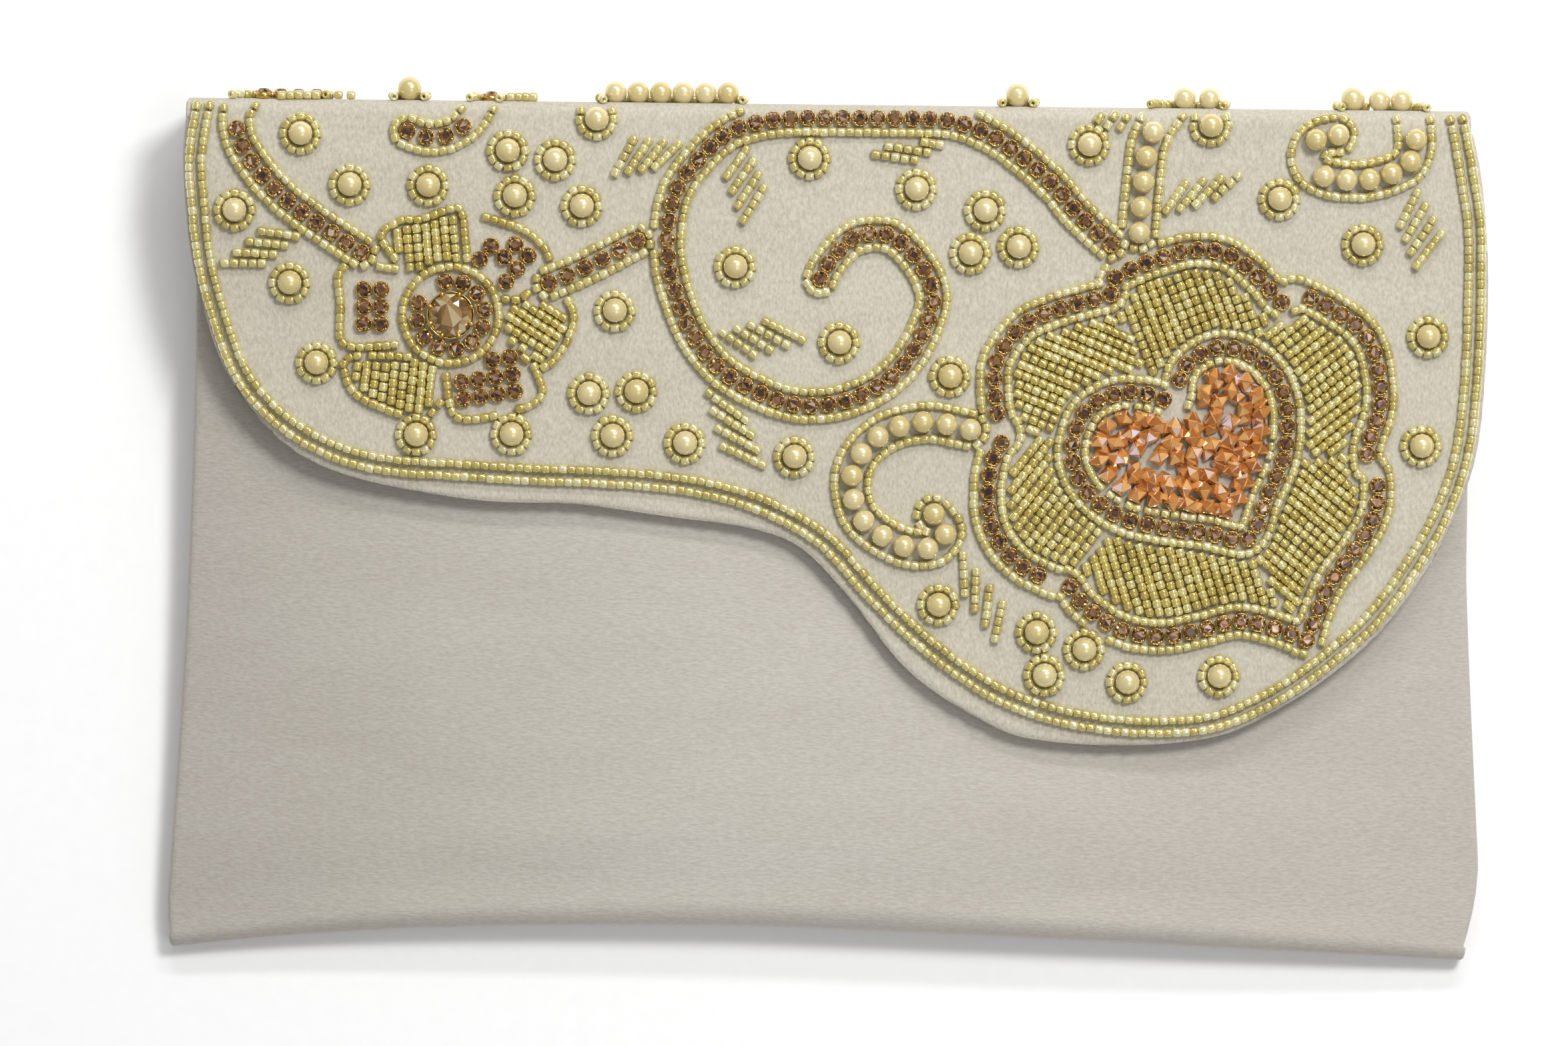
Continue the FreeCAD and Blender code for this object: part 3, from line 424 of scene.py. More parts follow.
def fill_heart(heart):
    """Bicone crystals lying on their sides, in rings one inside the other."""
    for k in range(6):
        inner = beside(heart, 5.2 + 3.1 * k, True)
        if len(inner) < 3 or not inside(inner[0], heart):
            inner = beside(heart, -5.2 - 3.1 * k, True)
        for m, (x, s) in enumerate(even(inner, 0.4) if len(inner) > 2 else inner):
            if inside((x, s), heart) and cloth.free(x, s, 1.6, None):
                cloth.add(x, s, 1.6, "bicone")
                turn = math.atan2(HEART_MIDDLE[1] - s, HEART_MIDDLE[0] - x) + 0.5 * math.sin(2.7 * m)
                sew("flap_heart_crystals", x, s, math.cos(turn), math.sin(turn), 1.7 + 0.25 * (m % 2), 0.98)
                low = (x + 1.7 * math.cos(turn + 0.8), s + 1.7 * math.sin(turn + 0.8))
                if inside(low, heart) and min(math.dist(low, q) for q in heart) > 4.9:
                    sew("flap_heart_crystals", low[0], low[1], math.sin(turn), math.cos(turn), 0.95, 0.9)


def rosette_stones():
    x0, s0 = ROSETTE
    sew("rosette_bezel", x0, s0, 1, 0, 0.0)
    sew("rosette_centre_stone", x0, s0, 1, 0, 0.0)
    cloth.add(x0, s0, 4.85, "stone centre")
    for k in range(12):
        if k != 4:
            a = math.radians(30 * k + 10)
            set_stone("rosette", x0 + 6.85 * math.cos(a), s0 + 6.85 * math.sin(a), a)
    for outline, degrees in STONE_PETALS:
        fill_stones(outline, math.radians(degrees))


def fill_stones(outline, turn):
    """Stones in straight rows inside a petal, clear of its bead row and the centre."""
    line = curve_through(outline)
    whole = line + [ROSETTE]
    mx = sum(p[0] for p in outline) / len(outline)
    my = sum(p[1] for p in outline) / len(outline)
    for j in range(-5, 6):
        for i in range(-5, 6):
            a, b = PITCH * i, PITCH * j
            p = (mx + math.cos(turn) * a - math.sin(turn) * b, my + math.sin(turn) * a + math.cos(turn) * b)
            clear = math.dist(p, ROSETTE) > 12.25 and min(math.dist(p, q) for q in line) > 2.5
            if clear and inside(p, whole):
                set_stone("rosette", p[0], p[1])


def rosette_beads():
    x0, s0 = ROSETTE
    sew_row("flap_rosette_beads", ring(x0, s0, 9.65, 90), "rosette")
    for k, (outline, degrees) in enumerate(STONE_PETALS):
        sew_row("flap_rosette_beads", curve_through(outline), "stone petal %d" % k)
    for k, (outline, degrees) in enumerate(BEAD_PETALS):
        sew_row("flap_rosette_beads", curve_through(outline), "bead petal %d" % k)
        for m, line in enumerate(hatch(outline, degrees, 1.88)):
            sew_row("flap_rosette_beads", line, "bead petal %d %d" % (k, m))


def between(line, a, b):
    """The stretch of a closed line from nearest a to nearest b."""
    i = min(range(len(line)), key=lambda k: math.dist(line[k], a))
    j = min(range(len(line)), key=lambda k: math.dist(line[k], b))
    return line[i:j] if i < j else line[i:] + line[:j]


def fill_petals(flower, heart):
    """Each petal is filled with its own parallel strands, up to the heart's outer row."""
    for k, way in enumerate(PETAL_WAYS):
        notch, following = PETAL_NOTCHES[k], PETAL_NOTCHES[(k + 1) % len(PETAL_NOTCHES)]
        sector = [HEART_MIDDLE] + between(flower, notch, following)
        for m, line in enumerate(hatch(sector, way, 1.88)):
            line = [p for p in line if min(math.dist(p, q) for q in flower[::2]) > EDGE + 1.8 * BEAD
                    and min(math.dist(p, q) for q in heart[::2]) > EDGE + 1.8 * BEAD
                    and not inside(p, heart) and inside(p, flower)]
            sew_row("flap_petal_beads", line, "petal %d %d" % (k, m), 1.6)


def embroider():
    """Sew everything on, the proudest pieces first."""
    for (x, s) in SINGLES + CLUSTERS:
        pearl("flap_pearls", x, s, PEARL)
    strings = [curve_through(points) for points in STRINGS]
    for line in strings:
        for p in spaced(line, 4.5):
            pearl("flap_string_pearls", p[0], p[1], STRING_PEARL)
    vines = [curve_through(points) for points in VINES]
    for line in vines:
        chain("vine", line, False)
    flower = curve_through(FLOWER, True)
    chain("flower", flower, True)
    heart = curve_through(HEART, True)
    chain("heart", heart, True)
    fill_heart(heart)
    rosette_stones()
    border = [p for p in curve_through(BORDER) if p[1] < FOLD_S - 0.6]
    sew_row("flap_border_beads_outer", border, "border a")
    sew_row("flap_border_beads_inner", beside(border, 2.5), "border b")
    for k, (x, s) in enumerate(SINGLES + CLUSTERS):
        sew_row("flap_pearl_rings", ring(x, s, 3.42), "ring %d" % k)
    edge_line("vine", vines, EDGE)
    edge_line("string", strings, 3.35)
    for name, line in (("flower", flower), ("heart", heart)):
        sew_row("flap_%s_edge_beads" % name, beside(line, EDGE, True), name + " a")
        sew_row("flap_%s_edge_beads" % name, beside(line, -EDGE, True), name + " b")
    fill_petals(flower, heart)
    rosette_beads()
    for k, (a, b, c, d, n) in enumerate(LEAVES):
        for m in range(n):
            f = m / max(1, n - 1)
            p = (a[0] + (c[0] - a[0]) * f, a[1] + (c[1] - a[1]) * f)
            q = (b[0] + (d[0] - b[0]) * f, b[1] + (d[1] - b[1]) * f)
            sew_row("flap_leaf_beads", even([p, q], 0.5), "leaf %d %d" % (k, m))


# ---------------------------------------------------------------- base shapes, in millimetres
def shape_of(bm):
    """A small shape as plain arrays, cut into triangles."""
    bmesh.ops.triangulate(bm, faces=bm.faces[:])
    bm.verts.ensure_lookup_table()
    verts = np.array([v.co[:] for v in bm.verts])
    tris = np.array([[v.index for v in f.verts] for f in bm.faces])
    bm.free()
    return verts, tris


def lathe(profile, sides, closed=True, along_x=False):
    """A turned shape. Profile points are (radius, height); a closed profile makes a hollow ring."""
    bm = bmesh.new()
    rings = []
    for (r, h) in profile:
        loop = []
        for k in range(sides):
            a = 2 * math.pi * k / sides
            p = (r * math.cos(a), r * math.sin(a), h)
            loop.append(bm.verts.new((h, p[0], p[1]) if along_x else p))
        rings.append(loop)
    last = len(rings) if closed else len(rings) - 1
    for j in range(last):
        a, b = rings[j], rings[(j + 1) % len(rings)]
        for k in range(sides):
            m = (k + 1) % sides
            bm.faces.new((a[k], a[m], b[m], b[k]))
    if not closed:
        bm.faces.new(rings[0][::-1])
        bm.faces.new(rings[-1])
    bmesh.ops.recalc_face_normals(bm, faces=bm.faces[:])
    return bm


def seed_bead():
    """A rounded glass ring threaded along x."""
    profile = [(0.35, -0.84), (0.72, -0.85), (0.86, -0.68), (0.92, -0.3), (0.92, 0.3), (0.86, 0.68),
               (0.72, 0.85), (0.35, 0.84)]
    return shape_of(lathe(profile, 12, True, True))


def pearl_ball():
    bm = bmesh.new()
    bmesh.ops.create_icosphere(bm, subdivisions=4, radius=1.0)
    return shape_of(bm)


def gem(radius, girdle, top, table, base, sides=8):
    """A round brilliant: table, star and kite facets above the girdle, pavilion below."""
    bm = bmesh.new()
    half = math.pi / sides

    def loop(r, z, shift):
        turns = [2 * half * k + shift for k in range(sides)]
        return [bm.verts.new((r * math.cos(t), r * math.sin(t), z)) for t in turns]

    foot = bm.verts.new((0, 0, base))
    low = loop(radius * 0.98, girdle - 0.12, 0.0)
    rim = loop(radius, girdle, half)
    mid = loop((radius + table) / 2, girdle + (top - girdle) * 0.62, 0.0)
    flat = loop(table, top, half)
    for k in range(sides):
        m = (k + 1) % sides
        bm.faces.new((foot, low[m], low[k]))
        bm.faces.new((low[k], low[m], rim[k]))
        bm.faces.new((low[m], rim[m], rim[k]))
        bm.faces.new((rim[k], rim[m], mid[m]))
        bm.faces.new((rim[k], mid[m], flat[k]))
        bm.faces.new((rim[k], flat[k], mid[k]))
        bm.faces.new((mid[m], flat[m], flat[k]))
    bm.faces.new(flat)
    bmesh.ops.recalc_face_normals(bm, faces=bm.faces[:])
    return shape_of(bm)


def bicone():
    """A faceted double cone threaded along x."""
    profile = [(0.4, -1.95), (1.85, -0.12), (1.85, 0.12), (0.4, 1.95)]
    return shape_of(lathe(profile, 6, False, True))


def prong_cup(radius, wall, height, prongs, grip):
    """A turned metal cup whose prongs lean over the stone."""
    outer = [(radius - 0.25, 0.0), (radius, 0.3), (radius, height), (radius - wall, height)]
    bm = lathe(outer + [(radius - wall, 0.5), (0.2, 0.25), (0.2, 0.0)], 20)
    for k in range(prongs):
        a = 2 * math.pi * (k + 0.5) / prongs
        made = bmesh.ops.create_icosphere(bm, subdivisions=2, radius=1.0)["verts"]
        for v in made:
            x, y, z = v.co.x * grip * 1.25, v.co.y * grip, v.co.z * grip * 0.9
            x += radius - grip * 0.75
            z += height + grip * 0.35
            v.co = (x * math.cos(a) - y * math.sin(a), x * math.sin(a) + y * math.cos(a), z)
    return shape_of(bm)


BASES = {"beads": seed_bead(), "pearls": pearl_ball(), "crystals": bicone(),
         "stones": gem(1.56, 1.25, 2.05, 0.85, 0.35), "cups": prong_cup(1.66, 0.16, 1.3, 4, 0.3),
         "bezel": prong_cup(4.85, 0.3, 2.0, 8, 0.55), "stone": gem(4.4, 2.0, 3.5, 2.5, 0.5, 12)}


# ---------------------------------------------------------------- materials
def nodes_for(name):
    mat = bpy.data.materials.new(name)
    mat.use_nodes = True
    tree = mat.node_tree
    return mat, tree, tree.nodes["Principled BSDF"]


def node(tree, kind, **inputs):
    made = tree.nodes.new(kind)
    for key, value in inputs.items():
        made.inputs[key].default_value = value
    return made


def grain(tree, scale, detail=3.0, stretch=(1, 1, 1)):
    """Noise in the object's own metres."""
    where = tree.nodes.new("ShaderNodeTexCoord")
    mapping = node(tree, "ShaderNodeMapping", Scale=stretch)
    made = node(tree, "ShaderNodeTexNoise", Scale=scale, Detail=detail, Roughness=0.6)
    tree.links.new(where.outputs["Object"], mapping.inputs["Vector"])
    tree.links.new(mapping.outputs["Vector"], made.inputs["Vector"])
    return made.outputs["Fac"]


def ramp(tree, source, stops, interpolation="LINEAR"):
    made = tree.nodes.new("ShaderNodeValToRGB")
    made.color_ramp.interpolation = interpolation
    for k, (at, colour) in enumerate(stops):
        stop = made.color_ramp.elements[k] if k < 2 else made.color_ramp.elements.new(at)
        stop.position = at
        stop.color = (*colour, 1)
    tree.links.new(source, made.inputs["Fac"])
    return made.outputs["Color"]


def blend_colours(tree, a, b, factor, kind="MIX"):
    made = tree.nodes.new("ShaderNodeMix")
    made.data_type = "RGBA"
    made.blend_type = kind
    made.inputs["Factor"].default_value = factor
    tree.links.new(a, made.inputs[6])
    tree.links.new(b, made.inputs[7])
    return made.outputs[2]


def bump(tree, shader, height, strength, distance):
    made = node(tree, "ShaderNodeBump", Strength=strength, Distance=distance)
    tree.links.new(height, made.inputs["Height"])
    tree.links.new(made.outputs["Normal"], shader.inputs["Normal"])


def painted_side_shade(tree):
    """Painted shade: colour that darkens the body's velvet towards its two sides, the left side most."""
    where = tree.nodes.new("ShaderNodeTexCoord")
    split = tree.nodes.new("ShaderNodeSeparateXYZ")
    tree.links.new(where.outputs["Object"], split.inputs["Vector"])
    across = node(tree, "ShaderNodeMapRange")
    across.inputs["From Min"].default_value = -0.133
    across.inputs["From Max"].default_value = 0.133
    tree.links.new(split.outputs["X"], across.inputs["Value"])
    return ramp(tree, across.outputs["Result"], [(0.0, (0.82, 0.81, 0.81)), (1.0, (0.90, 0.89, 0.885)),
                                                 (0.16, (0.89, 0.885, 0.875)), (0.42, (1, 1, 1)),
                                                 (0.7, (0.97, 0.965, 0.96))])


def velvet(name, dark, light, stretch, side_shade=False):
    """Short pile: fine streaks along the nap, faint broad bands and a pale sheen. When asked, painted shade
    darkens it towards the sides.
    """
    mat, tree, shader = nodes_for(name)
    pile = grain(tree, 2300, 3, stretch)
    fine = ramp(tree, pile, [(0.28, dark), (0.72, light)])
    bands = ramp(tree, grain(tree, 70, 4, (0.22, 1.0, 1.0)), [(0.3, (0.93, 0.925, 0.92)), (0.7, (1, 1, 1))])
    cloth = blend_colours(tree, fine, bands, 1.0, "MULTIPLY")
    # painted shade: the body's velvet is made darker towards its left and right sides
    if side_shade:
        cloth = blend_colours(tree, cloth, painted_side_shade(tree), 1.0, "MULTIPLY")
    tree.links.new(cloth, shader.inputs["Base Color"])
    shader.inputs["Roughness"].default_value = 0.92
    shader.inputs["Specular IOR Level"].default_value = 0.15
    shader.inputs["Sheen Weight"].default_value = 0.35
    shader.inputs["Sheen Roughness"].default_value = 0.45
    shader.inputs["Sheen Tint"].default_value = (1.0, 0.97, 0.92, 1)
    bump(tree, shader, pile, 0.45, 0.0003)
    return mat


def satin(name, dark, light):
    mat, tree, shader = nodes_for(name)
    weave = grain(tree, 900, 2, (1.0, 0.12, 1.0))
    tree.links.new(ramp(tree, weave, [(0.3, dark), (0.7, light)]), shader.inputs["Base Color"])
    shader.inputs["Roughness"].default_value = 0.42
    shader.inputs["Sheen Weight"].default_value = 0.2
    bump(tree, shader, weave, 0.25, 0.0002)
    return mat


def card(name):
    mat, tree, shader = nodes_for(name)
    fibre = grain(tree, 420, 5)
    colours = [(0.3, (0.30, 0.25, 0.18)), (0.7, (0.46, 0.39, 0.29))]
    tree.links.new(ramp(tree, fibre, colours), shader.inputs["Base Color"])
    shader.inputs["Roughness"].default_value = 0.85
    bump(tree, shader, fibre, 0.3, 0.0002)
    return mat


def metal(name, dark, light, rough):
    mat, tree, shader = nodes_for(name)
    tint = ramp(tree, grain(tree, 260, 4), [(0.3, dark), (0.7, light)])
    tree.links.new(tint, shader.inputs["Base Color"])
    shader.inputs["Metallic"].default_value = 1.0
    scratches = grain(tree, 1400, 3, (1.0, 0.08, 1.0))
    wear = tree.nodes.new("ShaderNodeMapRange")
    wear.inputs["To Min"].default_value = rough * 0.7
    wear.inputs["To Max"].default_value = rough * 1.4
    tree.links.new(scratches, wear.inputs["Value"])
    tree.links.new(wear.outputs["Result"], shader.inputs["Roughness"])
    bump(tree, shader, scratches, 0.08, 0.00005)
    return mat


def glassy(name, stops, rough, metallic, interpolation="LINEAR"):
    """Beads, stones and crystals: each bead or facet takes its own tint from the drawing. On the cut stones
    and crystals these facet tints are painted light and shade: dark facets for shade inside the stone, pale
    facets for glints.
    """
    mat, tree, shader = nodes_for(name)
    tint = tree.nodes.new("ShaderNodeAttribute")
    tint.attribute_name = "tint"
    colour = ramp(tree, tint.outputs["Fac"], stops, interpolation)
    cloud = ramp(tree, grain(tree, 700, 2), [(0.25, (0.84, 0.84, 0.84)), (0.75, (1, 1, 1))])
    tree.links.new(blend_colours(tree, colour, cloud, 1.0, "MULTIPLY"), shader.inputs["Base Color"])
    shader.inputs["Roughness"].default_value = rough
    shader.inputs["Metallic"].default_value = metallic
    shader.inputs["Coat Weight"].default_value = 1.0
    shader.inputs["Coat Roughness"].default_value = 0.04
    return mat


def pearl_lustre(name):
    mat, tree, shader = nodes_for(name)
    tint = tree.nodes.new("ShaderNodeAttribute")
    tint.attribute_name = "tint"
    colour = ramp(tree, tint.outputs["Fac"], [(0.0, (0.76, 0.62, 0.27)), (1.0, (0.88, 0.75, 0.42))])
    cloud = ramp(tree, grain(tree, 500, 3), [(0.3, (0.93, 0.92, 0.9)), (0.7, (1, 1, 1))])
    tree.links.new(blend_colours(tree, colour, cloud, 1.0, "MULTIPLY"), shader.inputs["Base Color"])
    shader.inputs["Roughness"].default_value = 0.24
    shader.inputs["Metallic"].default_value = 0.35
    shader.inputs["Coat Weight"].default_value = 1.0
    shader.inputs["Coat Roughness"].default_value = 0.06
    return mat


IVORY = velvet("ivory_velvet", (0.47, 0.435, 0.355), (0.66, 0.62, 0.52), (0.8, 0.42, 1.0))
# the body velvet carries painted shade towards its left and right sides
BODY = velvet("body_velvet", (0.50, 0.468, 0.415), (0.62, 0.588, 0.53), (0.3, 1.0, 1.0), True)
SATIN = satin("ivory_satin", (0.52, 0.46, 0.36), (0.66, 0.60, 0.48))
BOARD = card("grey_board")
GOLD = metal("gold_plate", (0.46, 0.28, 0.06), (0.72, 0.50, 0.15), 0.22)
MAGNET = metal("dark_magnet", (0.05, 0.05, 0.055), (0.10, 0.10, 0.105), 0.45)
SEED = glassy("silver_lined_beads", [(0.0, (0.66, 0.54, 0.17)), (0.5, (0.84, 0.73, 0.28)),
                                     (1.0, (0.97, 0.89, 0.50))], 0.12, 0.55)
# painted light and shade: topaz facets run from near black to pale, for shade in the stone and glints on it
TOPAZ = glassy("smoked_topaz", [(0.0, (0.03, 0.010, 0.003)), (0.5, (0.20, 0.085, 0.028)),
                                (0.85, (0.42, 0.21, 0.08)), (1.0, (0.85, 0.66, 0.42))], 0.07, 0.55)
# painted light and shade: the centre stone's facets run from dark to pale, for shade in the stone and glints
# on it
CLEAR = glassy("honey_stone", [(0.0, (0.12, 0.05, 0.01)), (0.5, (0.36, 0.20, 0.06)),
                               (0.85, (0.60, 0.40, 0.16)), (1.0, (0.92, 0.80, 0.55))], 0.05, 0.5)
GILT = glassy("gold_lined_beads", [(0.0, (0.58, 0.44, 0.10)), (0.5, (0.76, 0.62, 0.18)),
                                   (1.0, (0.92, 0.81, 0.36))], 0.12, 0.6)
# painted light and shade: crystal facets run from dark red to bright orange for light through the crystal;
# the lilac top stop is a painted reflection
AMBER = glassy("amber_crystal", [(0.0, (0.36, 0.10, 0.012)), (0.5, (0.72, 0.28, 0.05)),
                                 (0.88, (0.93, 0.52, 0.17)), (1.0, (0.92, 0.84, 1.0))], 0.06, 0.25)
PEARLY = pearl_lustre("cream_pearl")


# ---------------------------------------------------------------- building meshes
def mesh_from(name, verts, faces, mat, flat=False):
    data = bpy.data.meshes.new(name)
    data.from_pydata(verts, [], faces)
    data.materials.append(mat)
    data.polygons.foreach_set("use_smooth", [not flat] * len(data.polygons))
    data.update()
    obj = bpy.data.objects.new(name, data)
    bpy.context.collection.objects.link(obj)
    return obj


def scatter(name, kind, spots, mat, faceted):
    """One mesh of many copies, each with its own tint on its points or its facets."""
    verts, tris = BASES[kind]
    count = len(verts)
    all_verts, all_tris, tones_and_facet_light = [], [], []
    for k, (where, along, across, out, size) in enumerate(spots):
        axes = np.array([along[:], across[:], out[:]]) * size * MM
        if kind == "beads":
            spin = pick.uniform(0, 2 * math.pi)
            c, s = math.cos(spin), math.sin(spin)
            axes = np.array([axes[0], axes[1] * c + axes[2] * s, axes[2] * c - axes[1] * s])
        all_verts.append(verts @ axes + np.array(where[:]))
        all_tris.append(tris + k * count)
        # facet tints on cut stones and crystals are painted light and shade; bead and pearl tints are their
        # own tones
        if faceted:
            tones_and_facet_light += [pick.random() for _ in range(len(tris))]
        else:
            tones_and_facet_light += [pick.random()] * count
    verts, tris = np.concatenate(all_verts).tolist(), np.concatenate(all_tris).tolist()
    obj = mesh_from(name, verts, tris, mat, faceted)
    layer = obj.data.attributes.new("tint", "FLOAT", "FACE" if faceted else "POINT")
    layer.data.foreach_set("value", tones_and_facet_light)
    return obj


def thick(name, point, us, vs, edge, mat, half):
    """A cloth-covered panel: skin above, turned edge, cloth below. edge(u, v) is mm to a free edge."""
    def depth(u, v):
        d = edge(u, v)
        if d >= half:
            return 0.0
        return half - math.sqrt(max(0.0, half ** 2 - (half - d) ** 2))

    wide, tall = len(us), len(vs)
    verts = [point(u, v, depth(u, v)) for u in us for v in vs]
    verts += [point(u, v, 2 * half - depth(u, v)) for u in us for v in vs]
    faces = []
    shift = wide * tall
    for i in range(wide - 1):
        for j in range(tall - 1):
            a = i * tall + j
            quad = (a, a + tall, a + tall + 1, a + 1)
            faces.append(quad)
            faces.append(tuple(q + shift for q in reversed(quad)))
    rim = [i * tall for i in range(wide)] + [(wide - 1) * tall + j for j in range(1, tall)]
    rim += [i * tall + tall - 1 for i in range(wide - 2, -1, -1)] + [j for j in range(tall - 2, 0, -1)]
    for k in range(len(rim)):
        a, b = rim[k], rim[(k + 1) % len(rim)]
        faces.append((b, a, a + shift, b + shift))
    obj = mesh_from(name, verts, faces, mat)
    bm = bmesh.new()
    bm.from_mesh(obj.data)
    bmesh.ops.remove_doubles(bm, verts=bm.verts[:], dist=1e-6)
    bmesh.ops.dissolve_degenerate(bm, edges=bm.edges[:], dist=1e-7)
    bmesh.ops.recalc_face_normals(bm, faces=bm.faces[:])
    for e in bm.edges:
        e.smooth = len(e.link_faces) == 2 and e.calc_face_angle() < SHARP
    bm.to_mesh(obj.data)
    bm.free()
    return obj


def crowd(n, tight=(0.0, 0.0012, 0.003, 0.006, 0.010)):
    """Steps from 0 to 1 that crowd together at both ends, for a rounded edge."""
    ends = list(tight)
    return ends + steps(0.016, 0.984, n) + [1 - t for t in reversed(ends)]


def ripple(x, y, size, deep):
    """Soft, broad unevenness of cloth over its padding."""
    return deep * noise.noise(Vector((x / size, y / size, 3.7)))


# ---------------------------------------------------------------- the cloth panels
def fold_x(u):
    x0, x1 = left_x(-82), right_x(-82)
    return x0 + u * (x1 - x0)


def fold_start(u):
    x = fold_x(u)
    return bottom_y(x) + 0.45 * front_z(x, -85)


def front_point(u, v, d):
    """v below 0 goes round the bottom fold, v 0..1 goes up the front."""
    if v < 0:
        x = fold_x(u)
        tall = front_z(x, -85)
        deep = 0.45 * tall
        a = math.pi / 2 * (v + 1)
        y = bottom_y(x) + deep - (deep - d) * math.cos(a)
        return place(x, y, tall / 2 + (tall / 2 - d) * math.sin(a))
    start = fold_start(u)
    y = start + v * (76 - start)
    x = left_x(y) + u * (right_x(y) - left_x(y))
    rise = smooth(v * 12)
    z = front_z(fold_x(u), -85) * (1 - rise) + front_z(x, y) * rise
    z += ripple(x, y, 34, 0.45) * smooth(v * 6) * smooth((20 - y) / 20)
    return place(x, y, z - d)


def back_point(u, v, d):
    """v 0..1 from the bottom fold up the back."""
    start = fold_start(u)
    y = start + v * (SEAM_Y - start)
    x = left_x(y) + u * (right_x(y) - left_x(y))
    return place(x, y, d)


def side_distance(u):
    return min(u, 1 - u) * 262


def make_front():
    vs = steps(-2, -0.14, 14) + [0.0, 0.02, 0.045, 0.07] + steps(0.1, 0.985, 52)
    vs += [1 - t for t in (0.011, 0.007, 0.004, 0.0015, 0.0)]
    front = thick("front_panel_velvet", front_point, crowd(90), vs,
                  lambda u, v: min(side_distance(u), (1 - v) * 158), BODY, PANEL_HALF)
    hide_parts("front_velvet")
    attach(front, "bag")
    back = thick("back_panel_velvet", back_point, crowd(60), steps(0, 1, 30),
                 lambda u, v: side_distance(u), BODY, PANEL_HALF)
    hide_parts("back_velvet")
    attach(back, "bag")


def flap_outline():
    """The flap's edge as three sides: left from the fold down, the S-curve, right up to the fold."""
    line = [p for p in curve_through(FLAP_EDGE, False, 1.0) if p[1] <= SEAM_Y + 0.8]
    low = next(k for k, p in enumerate(line) if p[1] < 27)
    high = max(k for k, p in enumerate(line) if p[1] < -6)
    left = even([(line[0][0], SEAM_Y)] + line[1:low + 1], 0.5)
    right = even([(line[-1][0], SEAM_Y)] + line[-2:high - 1:-1], 0.5)
    return left, even(line[low:high + 1], 0.5), right


def at(line, f):
    k = min(len(line) - 2, int(f * (len(line) - 1)))
    t = f * (len(line) - 1) - k
    return (line[k][0] + (line[k + 1][0] - line[k][0]) * t, line[k][1] + (line[k + 1][1] - line[k][1]) * t)


def flap_sheet(name, inset, half, mat, sink):
    """A sheet over the flap's outline, blended between its four sides."""
    left, low, right = flap_outline()
    rim = left + low + right
    tl, tr, bl, br = left[0], right[0], left[-1], right[-1]

    def spot(u, v):
        l, r, b = at(left, v), at(right, v), at(low, u)
        t = (tl[0] + (tr[0] - tl[0]) * u, SEAM_Y)
        out = []
        for i in (0, 1):
            sides = l[i] * (1 - u) + r[i] * u + t[i] * (1 - v) + b[i] * v
            corners = (tl[i] * (1 - u) + tr[i] * u) * (1 - v) + (bl[i] * (1 - u) + br[i] * u) * v
            out.append(sides - corners)
        return out

    middle = (0.0, 45.0)

    def point(u, v, d):
        x, y = spot(u, v)
        if inset:
            x = middle[0] + (x - middle[0]) * (1 - inset / 126)
            y = y + (inset * 1.0 if v > 0.5 else 0) * smooth((v - 0.5) * 2)
        depth = sink
        if inset:
            depth = FOLD_SATIN + (sink - FOLD_SATIN) * smooth((SEAM_Y - y) / (SEAM_Y - BOARD_TOP))
        return place(x, y, flap_z(x, y) + ripple(x, y, 30, 0.12) - depth - d)

    def edge(u, v):
        x, y = spot(u, v)
        return min(math.dist((x, y), q) for q in rim[::2]) if min(u, 1 - u, 1 - v) < 0.03 else 9.0

    tight = (0.0, 0.001, 0.0025, 0.005, 0.009)
    us = list(tight) + steps(0.015, 0.985, 110) + [1 - t for t in reversed(tight)]
    vs = steps(0, 0.975, 54) + [1 - t for t in (0.016, 0.010, 0.006, 0.003, 0.0)]
    return thick(name, point, us, vs, edge, mat, half)


def make_flap():
    flap = flap_sheet("flap_panel_velvet", 0, PANEL_HALF, IVORY, 0.0)
    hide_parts("flap_velvet")
    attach(flap, "flap")
    lining = flap_sheet("flap_satin_lining", LINING_INSET, SATIN_HALF, SATIN, SATIN_DEPTH)
    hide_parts("flap_lining")
    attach(lining, "flap")


def strip_point(x, v, d):
    """Round the fold: v 0 at the flap's seam, 1 and 2 at the ends of the flat spine, 3 at the back seam."""
    low, high, r = FOLD_R, TOP_Z - FOLD_R, FOLD_R - d
    if v <= 0.25:
        return place(x, SEAM_Y + (FOLD_Y - SEAM_Y) * v * 4, TOP_Z - d)
    if v <= 1:
        a = math.pi / 2 * (v - 0.25) / 0.75
        return place(x, FOLD_Y + r * math.sin(a), high + r * math.cos(a))
    if v <= 2:
        return place(x, FOLD_Y + r, high + (low - high) * (v - 1))
    if v <= 2.75:
        a = math.pi / 2 * (1 + (v - 2) / 0.75)
        return place(x, FOLD_Y + r * math.sin(a), low + r * math.cos(a))
    return place(x, FOLD_Y - (FOLD_Y - SEAM_Y) * (v - 2.75) * 4, d)


def make_fold(name, rows, half, mat, slot, narrow, sink, replaced, pair, start, end):
    """A strip of cloth across one fold line, bending with it."""
    left, _, right = flap_outline()

    def point(u, v, d):
        top, back = smooth(1.6 - v), smooth(v - 1.2)
        x0 = left[0][0] * top + left_x(80) * back + (-127.7) * (1 - top - back)
        x1 = right[0][0] * top + right_x(80) * back + 126.4 * (1 - top - back)
        x0, x1 = x0 + narrow, x1 - narrow
        return strip_point(x0 + u * (x1 - x0), v, d + sink)

    strip = thick(name, point, crowd(60), rows, lambda u, v: min(u, 1 - u) * 254, mat, half)
    if replaced:
        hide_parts(replaced)
    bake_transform(strip)


